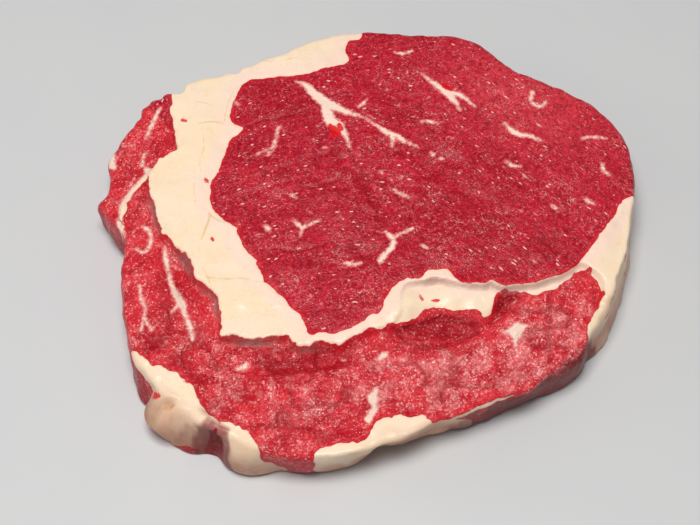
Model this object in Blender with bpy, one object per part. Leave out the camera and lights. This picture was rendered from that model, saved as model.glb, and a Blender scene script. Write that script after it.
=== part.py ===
"""A raw ribeye steak about an inch thick, lying flat on its cut face.

The steak is one closed body. Its cut face starts as a flat square grid, which is
rounded out to the steak's outline and raised to its relief. The rim is then
extruded down in rings that make the bulging side wall, and one flat face closes
the underside. Sizes are in millimetres up to the last step, which turns the mesh
into metres and stands it on the origin at the bottom centre of its own box.
"""
import math

import bmesh
import bpy

# Driving sizes, in millimetres. Bearings are in degrees, from +X towards +Y.
THICKNESS = 22.0
HALF_LENGTH = 78.5
HALF_WIDTH = 69.0
CENTRE_Y = 3.0
METRES = 0.001

# Mesh density
GRID_CELLS = 52
WALL_RINGS = 6

# The outline is an ellipse with swells and hollows: what each is, its bearing,
# its reach along the rim in degrees, and how far it stands out.
OUTLINE_SWELLS = (
    ("shoulder of the eye muscle", 29.0, 24.0, 16.0),
    ("crown of the eye muscle", 66.0, 11.0, 8.0),
    ("back fat", 90.0, 26.0, 12.0),
    ("far muscle", 143.0, 20.0, 15.0),
    ("belly of the far muscle", 162.0, 10.0, 5.5),
    ("nick between far muscle and seam fat", 131.0, 7.0, -3.0),
    ("ragged nub", 171.0, 4.5, 4.5),
    ("nick below the nub", 181.0, 4.0, -2.0),
    ("left end of the cap", 212.0, 17.0, 4.5),
    ("tail of the cap", 244.0, 30.0, 9.0),
    ("hollow of the lower right", 294.0, 21.0, -4.5),
)

# How far the foot of the wall stands out beyond the rim: bearing, reach, spread.
FOOT_SPREADS = (
    ("right fat wall", 350.0, 26.0, 3.0),
    ("overhang, lower right", 314.0, 12.0, -3.0),
    ("overhang, front edge", 274.0, 22.0, -6.0),
    ("fat lump at the lower left", 226.0, 15.0, 6.5),
)

# The rounded edge of the wall: how far the shoulder sets in from the widest line,
# and the exponent that keeps the wall boxy rather than barrel round.
SHOULDER_INSET = 4.5
WALL_SQUARENESS = 0.42

# The cap muscle and the fat below it sit lower than the eye and the seam fat.
# This is the edge of that lower ground, closed well outside the steak.
LOW_GROUND = (
    (-72.0, 27.0),
    (-67.0, 8.0),
    (-54.0, -12.0),
    (-45.5, -30.0),
    (-25.0, -34.0),
    (-5.0, -31.5),
    (15.0, -27.0),
    (37.0, -24.5),
    (42.0, -17.5),
    (60.0, -14.5),
    (71.0, -15.0),
    (73.0, -24.0),
    (72.0, -120.0),
    (-130.0, -120.0),
    (-130.0, 27.0),
)
LOW_GROUND_STEP = 2.8
LOW_GROUND_STEP_RUN = 5.0
LOW_GROUND_FALL = 0.085

# Swells and hollows of the cut face: x, y, half-length, half-width, turn, height.
FACE_SWELLS = (
    ("dome of the eye muscle", 18.0, 30.0, 58.0, 44.0, 0.0, 1.2),
    ("rounded far shoulder", 78.0, 50.0, 26.0, 14.0, -40.0, -1.5),
    ("far muscle, slumped", -80.0, 34.0, 13.0, 26.0, -8.0, -3.2),
    ("gutter beside the eye", 20.0, -19.0, 22.0, 5.0, 12.0, -1.4),
    ("gutter under the right seam", 54.0, -15.5, 13.0, 2.5, 12.0, -0.8),
    ("right fat, sloping out", 84.0, -6.0, 8.0, 24.0, -14.0, -2.2),
    ("fat lump's shelf", -66.0, -54.0, 14.0, 9.0, -40.0, -3.4),
    ("curl of the fat lump", -61.0, -53.0, 4.5, 3.5, 0.0, 2.2),
    ("valley of the cap", -22.0, -43.0, 22.0, 4.5, 8.0, -1.5),
    ("ridge of the cap", -22.0, -54.0, 24.0, 6.0, 10.0, 1.0),
    ("crevice beside the kernel", 42.0, -23.5, 4.0, 3.0, 30.0, -1.6),
    ("cap muscle, right", 52.0, -30.0, 12.0, 8.0, 25.0, 1.0),
    ("cap muscle, left", -60.0, -20.0, 7.0, 18.0, 14.0, 0.9),
)

MEAT_COLOUR = (0.54, 0.055, 0.07, 1.0)
MEAT_ROUGHNESS = 0.38


def clear_scene():
    """Removes whatever objects the open file holds."""
    for thing in list(bpy.data.objects):
        bpy.data.objects.remove(thing, do_unlink=True)


def raw_meat_material():
    """Moist red meat: a Principled surface of one mean colour."""
    meat = bpy.data.materials.new("raw_meat")
    meat.use_nodes = True
    shader = meat.node_tree.nodes["Principled BSDF"]
    shader.inputs["Base Color"].default_value = MEAT_COLOUR
    shader.inputs["Roughness"].default_value = MEAT_ROUGHNESS
    shader.inputs["Metallic"].default_value = 0.0
    return meat


def bump_at(bearing, swells):
    """Sum of bell curves round the rim, each height * exp(-(turn / reach)^2)."""
    total = 0.0
    for _, middle, reach, height in swells:
        turn = (bearing - middle + 180.0) % 360.0 - 180.0
        total += height * math.exp(-((turn / reach) ** 2))
    return total


def rim_radius(bearing):
    """Distance from the middle to the widest line of the rim: ellipse plus swells."""
    angle = math.radians(bearing)
    across = HALF_WIDTH * math.cos(angle)
    along = HALF_LENGTH * math.sin(angle)
    ellipse = HALF_LENGTH * HALF_WIDTH / math.hypot(across, along)
    return ellipse + bump_at(bearing, OUTLINE_SWELLS)


def depth_inside(x, y, outline):
    """Signed distance from a closed outline of straight edges, positive inside."""
    nearest = math.inf
    inside = False
    for (ax, ay), (bx, by) in zip(outline, outline[1:] + outline[:1]):
        run_x, run_y = bx - ax, by - ay
        share = ((x - ax) * run_x + (y - ay) * run_y) / (run_x**2 + run_y**2)
        share = min(1.0, max(0.0, share))
        gap = math.hypot(x - ax - share * run_x, y - ay - share * run_y)
        nearest = min(nearest, gap)
        if (ay > y) != (by > y) and x < ax + (y - ay) * run_x / run_y:
            inside = not inside
    return nearest if inside else -nearest


def smooth_step(value, run):
    """Rises from 0 to 1 while the value goes from 0 to run, level at both ends."""
    share = min(1.0, max(0.0, value / run))
    return share * share * (3.0 - 2.0 * share)


def low_ground_drop(x, y):
    """The step down from the seam fat to the cap, then a steady fall outwards."""
    depth = depth_inside(x, y, LOW_GROUND)
    step = LOW_GROUND_STEP * smooth_step(depth, LOW_GROUND_STEP_RUN)
    return step + LOW_GROUND_FALL * max(0.0, depth)


def face_height(x, y):
    """Height of the cut face: thickness, less the low ground, plus the swells."""
    height = THICKNESS - low_ground_drop(x, y)
    for _, middle_x, middle_y, half_length, half_width, turn, rise in FACE_SWELLS:
        angle = math.radians(turn)
        run_x, run_y = x - middle_x, y - middle_y
        along = (run_x * math.cos(angle) + run_y * math.sin(angle)) / half_length
        across = (run_y * math.cos(angle) - run_x * math.sin(angle)) / half_width
        height += rise * math.exp(-(along**2 + across**2))
    return height


def disc_point(across, up):
    """Maps a point of the square from -1 to 1 onto the unit disc, without a seam."""
    return (
        across * math.sqrt(1.0 - up * up / 2.0),
        up * math.sqrt(1.0 - across * across / 2.0),
    )


def place_on_face(vert):
    """Carries one grid corner from the square to its place on the cut face."""
    disc_x, disc_y = disc_point(vert.co.x, vert.co.y)
    bearing = math.degrees(math.atan2(disc_y, disc_x))
    reach = rim_radius(bearing) - SHOULDER_INSET
    x = disc_x * reach
    y = disc_y * reach + CENTRE_Y
    vert.co = (x, y, face_height(x, y))


def wall_point(bearing, share):
    """A point of the wall: share 0 is the cut face's edge, 1 the foot's edge.

    The profile is a squared-off half circle: out = sin^p, up = cos^p, with the
    foot's spread added in proportion to the depth below the rim.
    """
    angle = math.radians(bearing)
    turn = math.pi * share
    out = max(0.0, math.sin(turn)) ** WALL_SQUARENESS
    side = math.copysign(abs(math.cos(turn)) ** WALL_SQUARENESS, math.cos(turn))
    height_share = 0.5 * (1.0 + side)
    inset = SHOULDER_INSET * (1.0 - out)
    spread = bump_at(bearing, FOOT_SPREADS) * (1.0 - height_share)
    radius = rim_radius(bearing) - inset + spread
    edge_radius = rim_radius(bearing) - SHOULDER_INSET
    edge_x = edge_radius * math.cos(angle)
    edge_y = edge_radius * math.sin(angle) + CENTRE_Y
    x = radius * math.cos(angle)
    y = radius * math.sin(angle) + CENTRE_Y
    return x, y, face_height(edge_x, edge_y) * height_share


def extrude_wall(steak):
    """Takes the face's rim down to the underside, one ring at a time."""
    rim = [edge for edge in steak.edges if edge.is_boundary]
    bearings = {}
    for vert in {vert for edge in rim for vert in edge.verts}:
        bearings[vert] = math.degrees(math.atan2(vert.co.y - CENTRE_Y, vert.co.x))
    for ring in range(1, WALL_RINGS + 1):
        grown = bmesh.ops.extrude_edge_only(steak, edges=rim)["geom"]
        below = {}
        for vert in (part for part in grown if isinstance(part, bmesh.types.BMVert)):
            above = next(
                edge.other_vert(vert)
                for edge in vert.link_edges
                if edge.other_vert(vert) in bearings
            )
            below[vert] = bearings[above]
            vert.co = wall_point(below[vert], ring / WALL_RINGS)
        bearings = below
        rim = [edge for edge in steak.edges if edge.is_boundary]
    return rim


def stand_on_origin(steak):
    """Moves the body so that the origin is the bottom centre of its box, in metres."""
    for axis, low_only in ((0, False), (1, False), (2, True)):
        values = [vert.co[axis] for vert in steak.verts]
        origin = min(values) if low_only else (min(values) + max(values)) / 2.0
        for vert in steak.verts:
            vert.co[axis] = (vert.co[axis] - origin) * METRES


def make_steak():
    """Builds the one closed body of the steak."""
    steak = bmesh.new()
    bmesh.ops.create_grid(steak, x_segments=GRID_CELLS, y_segments=GRID_CELLS, size=1.0)
    for vert in steak.verts:
        place_on_face(vert)
    foot = extrude_wall(steak)
    bmesh.ops.edgeloop_fill(steak, edges=foot)
    bmesh.ops.recalc_face_normals(steak, faces=steak.faces)
    stand_on_origin(steak)
    mesh = bpy.data.meshes.new("steak")
    steak.to_mesh(mesh)
    steak.free()
    mesh.shade_smooth()
    mesh.materials.append(raw_meat_material())
    return bpy.data.objects.new("steak", mesh)


def main():
    clear_scene()
    group = bpy.data.collections.new("raw_ribeye_steak")
    bpy.context.scene.collection.children.link(group)
    group.objects.link(make_steak())


main()
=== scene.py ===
# %% [markdown]
# # A raw ribeye steak
#
# A ribeye is a slice across the rib end of a beef loin. Its cut face shows three
# muscles with fat grown between them: the round eye, the cap that bends round the
# eye's lower side, and a small far muscle at the end. Nothing separates them, so the
# steak is one closed skin. The muscles, fat, marbling and blood spots are told apart
# by distances measured on that skin, which the material then reads.

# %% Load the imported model
import math
from types import SimpleNamespace

import bpy
import numpy as np
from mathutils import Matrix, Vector


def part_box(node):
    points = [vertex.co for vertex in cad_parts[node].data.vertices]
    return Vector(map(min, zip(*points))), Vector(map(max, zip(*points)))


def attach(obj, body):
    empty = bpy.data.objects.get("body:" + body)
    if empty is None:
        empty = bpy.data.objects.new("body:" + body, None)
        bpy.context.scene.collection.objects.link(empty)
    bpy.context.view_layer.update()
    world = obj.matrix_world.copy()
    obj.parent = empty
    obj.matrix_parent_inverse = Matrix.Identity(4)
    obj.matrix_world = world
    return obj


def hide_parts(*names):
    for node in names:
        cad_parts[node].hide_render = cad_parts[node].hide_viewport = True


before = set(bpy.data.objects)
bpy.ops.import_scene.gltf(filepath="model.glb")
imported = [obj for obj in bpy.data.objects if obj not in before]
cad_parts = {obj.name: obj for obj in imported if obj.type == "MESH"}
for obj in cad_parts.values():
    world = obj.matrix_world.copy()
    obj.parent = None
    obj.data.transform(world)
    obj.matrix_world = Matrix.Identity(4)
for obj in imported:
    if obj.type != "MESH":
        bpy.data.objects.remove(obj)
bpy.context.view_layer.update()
low_corner, high_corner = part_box("steak")
MM = 0.001
print("steak's solid, mm:", [round((b - a) / MM, 1) for a, b in zip(low_corner, high_corner)])

# %% [markdown]
# ## The outline
#
# Seen from above, the steak is an ellipse with swells and hollows round its rim. Each
# one is a bell curve of the bearing, so an outline of any fineness comes from a dozen
# named lines. Tracing the rim point by point would also work, but a swell can be moved
# or deepened by one number. These are the sizes that the solid was built from.

# %% Outline of the rim
HALF_LENGTH = 78.5
HALF_WIDTH = 69.0
CENTRE_Y = 3.0
OUTLINE_SWELLS = (
    # what it is, bearing in degrees, reach in degrees, height in mm
    ("shoulder of the eye", 29.0, 24.0, 16.0),
    ("crown of the eye", 66.0, 11.0, 8.0),
    ("back fat", 90.0, 26.0, 12.0),
    ("far muscle", 143.0, 20.0, 15.0),
    ("nick between far muscle and seam fat", 131.0, 7.0, -3.0),
    ("belly of the far muscle", 162.0, 10.0, 5.5),
    ("ragged nub", 171.0, 4.5, 4.5),
    ("nick below the nub", 181.0, 4.0, -2.0),
    ("left end of the cap", 212.0, 17.0, 4.5),
    ("tail of the cap", 244.0, 30.0, 9.0),
    ("hollow of the lower right", 294.0, 21.0, -4.5),
)
FOOT_SPREADS = (
    # what it is, bearing, reach, how far the foot stands out from the rim, in mm
    ("right fat wall", 350.0, 26.0, 3.0),
    ("overhang, lower right", 314.0, 12.0, -3.0),
    ("overhang, front edge", 274.0, 22.0, -6.0),
    ("fat lump at the lower left", 226.0, 15.0, 6.5),
)


def bumps_round(bearing, swells):
    """Sum over the swells of height * exp(-(turn / reach)^2), turn in degrees."""
    total = np.zeros_like(bearing)
    for _, middle, reach, height in swells:
        turn = (bearing - middle + 180.0) % 360.0 - 180.0
        total += height * np.exp(-((turn / reach) ** 2))
    return total


def rim_radius(bearing):
    """Radius of the widest line in mm: the ellipse's own radius plus the swells."""
    angle = np.radians(bearing)
    across = HALF_WIDTH * np.cos(angle)
    along = HALF_LENGTH * np.sin(angle)
    return HALF_LENGTH * HALF_WIDTH / np.hypot(across, along) + bumps_round(bearing, OUTLINE_SWELLS)


whole_turn = np.arange(0.0, 360.0, 0.5)
radii = rim_radius(whole_turn)
print(f"rim radius from {radii.min():.1f} to {radii.max():.1f} mm")

# %% [markdown]
# ## Borders of the muscles
#
# Each muscle is a closed loop on the cut face. Only the corners that give a border its
# character are named, and a Catmull-Rom curve rounds them off: between two corners it
# is the cubic that leaves each along the line through its neighbours. Where a muscle
# reaches the rim, its loop carries on outside the steak, so that it covers the wall too.

# %% Smooth loops through named corners


def smooth_path(corners, closed, steps=6):
    """Catmull-Rom through the rows of an array: 0.5 * (2b + (c-a)t + (2a-5b+4c-d)t^2 + (3b-a-3c+d)t^3)."""
    rows = np.asarray(corners, float)
    if closed:
        a, b, c, d = (np.roll(rows, shift, axis=0) for shift in (1, 0, -1, -2))
    else:
        padded = np.concatenate([rows[:1], rows, rows[-1:]])
        a, b, c, d = padded[:-3], padded[1:-2], padded[2:-1], padded[3:]
    t = (np.arange(steps) / steps)[None, :, None]
    a, b, c, d = (part[:, None, :] for part in (a, b, c, d))
    curve = 0.5 * (
        2 * b
        + (c - a) * t
        + (2 * a - 5 * b + 4 * c - d) * t**2
        + (3 * b - a - 3 * c + d) * t**3
    )
    curve = curve.reshape(-1, rows.shape[1])
    return curve if closed else np.concatenate([curve, rows[-1:]])


# The seam side of the cap, from its left tip to its right end: the foot of the fat.
SEAM_FOOT = (
    (-71, 26), (-70.5, 20), (-69, 15), (-66.5, 9), (-65, 4), (-61, -1), (-57.5, -4.5),
    (-54.5, -10), (-51.5, -15.5), (-48, -17.5), (-46.5, -22), (-45.5, -27), (-45, -32),
    (-39, -32.6), (-32.5, -33.8), (-26, -32.6), (-23, -35), (-20, -36), (-16, -34.6),
    (-12, -35), (-8.5, -35.5), (-5, -32.5), (0, -30.6), (3.6, -29.8), (6, -29.2),
    (9.5, -27.7), (12.6, -26.6), (15.3, -24.8), (18.8, -23), (21.6, -22.2), (24.5, -23),
    (27.6, -23.1), (30.4, -22.3), (33.2, -23.2), (35.4, -24.8), (37.2, -23.8), (38, -21.4),
    (38.6, -18.8), (40, -17), (44.6, -16.8), (49.4, -17.5), (55, -16.6), (60, -13.8),
    (65, -9.5), (68, -9), (70.5, -12), (71.5, -16),
)
# The rim side of the cap, back from right to left. Beyond it lies the edge fat.
CAP_RIM = (
    (72, -18), (69.5, -25), (66.5, -31), (72, -40), (78, -46), (60, -66), (44, -66),
    (34, -66), (26, -65), (21, -62), (18.4, -59.6), (15.2, -58), (12, -59), (8.4, -57.8),
    (5.5, -58.4), (1.7, -60), (0, -63), (-2, -65.4), (-6, -66.5), (-12, -68), (-16, -70),
    (-20, -80), (-30, -82), (-33, -69), (-36, -64), (-41, -60), (-46.5, -58.3),
    (-50, -54.8), (-53.5, -48.5), (-57, -44.6), (-62, -42.4), (-68, -39), (-72.5, -35.5),
    (-78, -33), (-95, -28), (-95, -8), (-90, 0), (-78.5, 5), (-78.6, 11), (-77.5, 17),
    (-75, 22),
)
EYE = (
    (-39.4, 63), (-43, 57.5), (-45, 50), (-44.7, 45.6), (-40.8, 43.2), (-44.4, 39),
    (-47, 32.5), (-47.8, 27.5), (-50.4, 22), (-50.6, 16), (-48, 10), (-42.5, 5.5),
    (-40.6, 2), (-39.4, -2.5), (-35.4, -7), (-33, -13), (-27.5, -19.2), (-21.5, -25.6),
    (-19.6, -30), (-18.5, -32.4), (-14, -32.4), (-10, -32.2), (-5, -29.8), (0, -26.8),
    (3.8, -24), (5.6, -18.8), (8.6, -14.6), (12, -13.2), (15.5, -13), (18, -10.6),
    (22, -9.8), (25.6, -10.8), (28, -14.4), (35, -15.2), (37.8, -14.2), (41, -15.8),
    (47, -15), (52.5, -13.9), (58, -12.2), (62, -10.4), (66, -7), (71, 0), (77, 8.8),
    (82, 16.5), (96, 24), (104, 50), (70, 92), (20, 104), (-1, 96), (-2, 81),
    (-5.8, 78.8), (-7.4, 75), (-6.4, 70.6), (-9.5, 69), (-14, 67.6), (-21, 65), (-27.5, 64.2),
    (-32.5, 63.6),
)
FAR = (
    (-66, 59.5), (-64.8, 54.5), (-65, 50.5), (-63.8, 46.5), (-63.4, 41), (-62.6, 36),
    (-66, 33.6), (-69, 31.4), (-71.6, 28.6), (-75, 24.6), (-77.4, 20), (-79.8, 13.6),
    (-79, 6), (-84, 0), (-104, 4), (-108, 40), (-92, 70), (-72, 78), (-67, 66),
)
eye_loop = smooth_path(EYE, closed=True)
cap_loop = smooth_path(SEAM_FOOT + CAP_RIM, closed=True)
far_loop = smooth_path(FAR, closed=True)
print("border pieces:", len(eye_loop), "eye,", len(cap_loop), "cap,", len(far_loop), "far muscle")

# %% [markdown]
# ## Distances
#
# Everything that has an edge is kept as a distance to that edge in millimetres. A mesh
# of 0.7 mm faces can't hold a crisp line as colour, but a distance changes evenly
# across a face, so the material can cut it off at zero as sharply as it likes.

# %% Distance to lines and loops
# Stands for a depth where nothing is near enough to be measured.
FAR_OUTSIDE = -20.0
THREAD_MARGIN = 3.0
LATTICE_CELLS = 128


def nearest_on_path(x, y, path, closed=False):
    """Least distance to a run of straight pieces, and how far along it, 0 to 1."""
    ends = np.roll(path, -1, axis=0) if closed else path[1:]
    starts = path if closed else path[:-1]
    nearest = np.full(x.shape, np.inf)
    along = np.zeros(x.shape)
    for index, ((ax, ay), (bx, by)) in enumerate(zip(starts[:, :2], ends[:, :2])):
        run_x, run_y = bx - ax, by - ay
        length = max(run_x**2 + run_y**2, 1e-12)
        share = np.clip(((x - ax) * run_x + (y - ay) * run_y) / length, 0.0, 1.0)
        gap = np.hypot(x - ax - share * run_x, y - ay - share * run_y)
        closer = gap < nearest
        nearest[closer] = gap[closer]
        along[closer] = (index + share[closer]) / len(starts)
    return nearest, along


def depth_inside(x, y, loop):
    """Signed distance from a closed loop in mm, positive inside it, by counting crossings."""
    nearest, _ = nearest_on_path(x, y, loop, closed=True)
    inside = np.zeros(x.shape, bool)
    for (ax, ay), (bx, by) in zip(loop, np.roll(loop, -1, axis=0)):
        if ay == by:
            continue
        crosses = (ay > y) != (by > y)
        inside ^= crosses & (x < ax + (y - ay) * (bx - ax) / (by - ay))
    return np.where(inside, nearest, -nearest)


def inside_threads(x, y, threads):
    """Greatest value over all threads of (half-width there - distance), in mm."""
    deepest = np.full(x.shape, FAR_OUTSIDE)
    for _, *corners in threads:
        path = smooth_path(corners, closed=False, steps=4)
        margin = path[:, 2].max() + THREAD_MARGIN
        near = (
            (x > path[:, 0].min() - margin) & (x < path[:, 0].max() + margin)
            & (y > path[:, 1].min() - margin) & (y < path[:, 1].max() + margin)
        )
        gap, along = nearest_on_path(x[near], y[near], path)
        half_width = np.interp(along, np.linspace(0.0, 1.0, len(path)), path[:, 2])
        deepest[near] = np.maximum(deepest[near], half_width - gap)
    return deepest


def smooth_step(value, run):
    """Rises from 0 to 1 as the value goes from 0 to run, level at both ends."""
    share = np.clip(value / run, 0.0, 1.0)
    return share * share * (3.0 - 2.0 * share)


def rough(x, y, size, seed):
    """Value noise from -1 to 1: random heights on a lattice of this size, joined smoothly."""
    lattice = np.random.default_rng(seed).uniform(-1.0, 1.0, (LATTICE_CELLS, LATTICE_CELLS))
    u, v = x / size + LATTICE_CELLS / 2, y / size + LATTICE_CELLS / 2
    i, j = np.floor(u).astype(int), np.floor(v).astype(int)
    s, t = (w * w * w * (w * (w * 6.0 - 15.0) + 10.0) for w in (u - i, v - j))
    right, up = (i + 1) % LATTICE_CELLS, (j + 1) % LATTICE_CELLS
    i, j = i % LATTICE_CELLS, j % LATTICE_CELLS
    lower = lattice[i, j] * (1 - s) + lattice[right, j] * s
    upper = lattice[i, up] * (1 - s) + lattice[right, up] * s
    return lower * (1 - t) + upper * t


def layered(x, y, layers):
    """Sum of value noises, each given as a strength, a size in mm and a seed."""
    return sum(strength * rough(x, y, size, seed) for strength, size, seed in layers)


# %% [markdown]
# ## Lie of the cut face
#
# The knife leaves a flat face, but the parts relax by different amounts. The eye and its
# fat stay firm and stand proud, while the cap and the far muscle sink and fall away
# towards the rim, so one step winds across the whole face. A step along a path, a list
# of swells and a few sizes of roughness give that; sculpting would look as good, but
# could not be changed by a number.

# %% The step that winds across the face
# Right of the seam's lowest point the step leaves the cap and runs along this ledge of fat.
LEDGE = (
    (0, -30.6), (4, -29.9), (7.4, -28.4), (9.4, -24), (9, -19), (11, -14.9), (14, -13.9),
    (22, -12.6), (28, -14.6), (35, -15.3), (37.8, -14.4), (41, -15.9), (52.5, -14),
    (61, -11), (66, -7.6), (70, -9.5), (73, -13.5), (72.8, -18), (70.5, -25),
    (67.5, -31), (72, -38),
)
# Before that it comes down the far muscle's inner side and the left of the cap's.
FAR_SIDE = ((-66.0, 90.0),) + FAR[:8]
LEFT_FOOT = SEAM_FOOT[:22]
# The loop is closed well outside the steak.
OUTSIDE_CORNERS = [(76, -120), (-130, -120), (-130, 90)]
low_ground_loop = np.concatenate(
    [smooth_path(FAR_SIDE + LEFT_FOOT + LEDGE, closed=False), OUTSIDE_CORNERS]
)
print("step path of", len(low_ground_loop), "points")

# %% Height of the cut face
THICKNESS = 22.0
LOW_GROUND_STEP = 2.0
LOW_GROUND_RUN = 1.3
LOW_GROUND_FALL = 0.085
LOW_GROUND_WIDTH = 30.0
FACE_SWELLS = (
    # what it is, x, y, half-length, half-width, turn in degrees, rise in mm
    ("dome of the eye", 18.0, 30.0, 58.0, 44.0, 0.0, 1.2),
    ("rounded far shoulder", 78.0, 50.0, 26.0, 14.0, -40.0, -1.5),
    ("far muscle, slumped", -80.0, 34.0, 13.0, 26.0, -8.0, -3.4),
    ("crown of the kernel", 20.0, -19.5, 16.0, 3.6, 10.0, 1.4),
    ("right fat, sloping out", 84.0, -6.0, 8.0, 24.0, -14.0, -2.0),
    ("shelf of the fat lump", -66.0, -53.0, 14.0, 9.0, -40.0, -3.4),
    ("valley of the cap", -22.0, -40.5, 22.0, 3.2, 6.0, -2.2),
    ("ridge of the cap", -22.0, -51.0, 24.0, 6.5, 10.0, 1.6),
    ("pocket under the kernel", 23.0, -29.4, 14.0, 3.6, 4.0, -1.8),
    ("crevice beside the kernel", 41.0, -22.5, 5.0, 2.0, 40.0, -3.0),
    ("right end of the cap", 54.0, -28.0, 13.0, 9.0, 25.0, 1.6),
    ("left end of the cap", -66.0, -16.0, 6.0, 20.0, 14.0, 1.2),
    ("groove by the long vein", -58.5, -12.0, 1.8, 14.0, 12.0, -1.1),
    ("crease down the eye", 1.0, 18.0, 18.0, 1.7, -55.0, -0.8),
    ("arc in the eye", -22.0, 30.0, 12.0, 0.8, 24.0, -0.6),
    ("second arc in the eye", -28.0, 21.5, 9.0, 0.7, 16.0, -0.35),
    ("ridge across the eye", 30.0, 32.0, 34.0, 2.2, -38.0, 0.5),
    ("trough across the eye", 22.0, 26.0, 30.0, 2.4, -38.0, -0.5),
    ("lower dip of the eye", -4.0, -6.0, 8.0, 6.0, 0.0, -0.6),
)
# These lie at the foot of the step and leave its high side alone.
FOOT_SWELLS = (
    ("fat filling the ledge's left end", 10.5, -22.5, 9.0, 4.6, 80.0, 1.7),
    ("deep foot of the seam fat", -60.0, -8.0, 9.0, 22.0, 22.0, -1.5),
    ("deep foot, lower end", -42.0, -34.0, 14.0, 4.0, 0.0, -1.4),
)
# Strength in mm, size in mm and seed of the noise that frays every border of a muscle.
BORDER_FRAY = ((0.42, 3.0, 12), (0.24, 1.3, 13))
CAP_FRAY = 1.5
# Left of this x the step follows the cap, and right of it the eye, which lies on its high side.
CAP_TO_EYE_X = 2.0
CAP_TO_EYE_RUN = 3.0


def tilted_bell(x, y, middle_x, middle_y, half_length, half_width, turn):
    """exp(-(along / half-length)^2 - (across / half-width)^2), turned by some degrees."""
    angle = math.radians(turn)
    along = ((x - middle_x) * math.cos(angle) + (y - middle_y) * math.sin(angle)) / half_length
    across = ((y - middle_y) * math.cos(angle) - (x - middle_x) * math.sin(angle)) / half_width
    return np.exp(-(along**2) - across**2)


def survey(x, y):
    """Depth inside each muscle and the height of the cut face, for plan points in mm."""
    fray = layered(x, y, BORDER_FRAY)
    eye = depth_inside(x, y, eye_loop) + fray
    cap = depth_inside(x, y, cap_loop) + CAP_FRAY * fray
    far = depth_inside(x, y, far_loop) + fray
    # The step frays along with the border that it follows: 1 beside the cap, -1 beside the eye.
    side = np.clip((CAP_TO_EYE_X - x) / CAP_TO_EYE_RUN, -1.0, 1.0)
    low = depth_inside(x, y, low_ground_loop) + fray * np.where(side > 0, CAP_FRAY, 1.0) * side
    low_step = smooth_step(low + 0.2, LOW_GROUND_RUN)
    height = THICKNESS - LOW_GROUND_STEP * low_step
    height -= LOW_GROUND_FALL * np.clip(low, 0.0, LOW_GROUND_WIDTH)
    for _, *place, swell in FACE_SWELLS:
        height += swell * tilted_bell(x, y, *place)
    for _, *place, swell in FOOT_SWELLS:
        height += low_step * swell * tilted_bell(x, y, *place)
    return SimpleNamespace(eye=eye, cap=cap, far=far, low=low, height=height)


print(len(FACE_SWELLS), "swells of the face and", len(FOOT_SWELLS), "at the foot of the step")

# %% [markdown]
# ## Grain
#
# Muscle fibres run together like hair. In the eye they climb and then bend down to the
# right, and in the cap they follow the crescent. Each muscle gets its own pair of
# coordinates, one along the fibres and one across them. The roughness of the meat and the
# material's streaks are both drawn in these coordinates, so they agree. Where bundles part,
# a narrow crease opens. The main ones are drawn, and the others lie where slow noise crosses
# zero, which makes thin lines that wander and end by themselves.

# %% Grain coordinates
# The fibres of the eye have the slope MEAN + TURN * tanh((x - TOP_X) / RUN).
EYE_MEAN_SLOPE, EYE_SLOPE_TURN, EYE_TOP_X, EYE_TURN_RUN = -0.13, -0.6, -3.0, 18.0
# Centre, working radius, and the bearing where the angle is cut, away from the meat.
CAP_GRAIN = ((-2.0, 25.0), 72.0, 90.0)
FAR_GRAIN_TURN = -105.0


def bent_grain(x, y):
    """The slope's integral, a x + b w ln cosh((x - c) / w), is taken off y; then both get true length."""
    past_top = (x - EYE_TOP_X) / EYE_TURN_RUN
    slope = EYE_MEAN_SLOPE + EYE_SLOPE_TURN * np.tanh(past_top)
    climb = EYE_MEAN_SLOPE * x + EYE_SLOPE_TURN * EYE_TURN_RUN * np.log(np.cosh(past_top))
    stretch = np.sqrt(1.0 + slope**2)
    return x * stretch, (y - climb) / stretch


def polar_grain(x, y, centre, radius, cut):
    """Arc length at a radius, and distance from the centre, in mm. The angle starts and ends at the cut."""
    turn = math.radians(cut)
    away_x, away_y = x - centre[0], y - centre[1]
    ahead = -(away_x * math.cos(turn) + away_y * math.sin(turn))
    aside = away_x * math.sin(turn) - away_y * math.cos(turn)
    return np.arctan2(aside, ahead) * radius, np.hypot(away_x, away_y)


def grain_at(x, y, ground):
    """Along-fibre and across-fibre coordinates of whichever muscle a point is nearest."""
    eye_along, eye_across = bent_grain(x, y)
    cap_along, cap_across = polar_grain(x, y, *CAP_GRAIN)
    angle = math.radians(FAR_GRAIN_TURN)
    far_along = x * math.cos(angle) + y * math.sin(angle)
    far_across = y * math.cos(angle) - x * math.sin(angle)
    in_cap = ground.cap > ground.eye
    in_far = ground.far > np.maximum(ground.eye, ground.cap)
    along = np.where(in_far, far_along, np.where(in_cap, cap_along, eye_along))
    across = np.where(in_far, far_across, np.where(in_cap, cap_across, eye_across))
    return along, across


apex_along, apex_across = bent_grain(np.array([EYE_TOP_X]), np.array([0.0]))
print(f"the eye's grain turns over at {apex_along[0]:.1f} along, {apex_across[0]:.1f} across")

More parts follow.
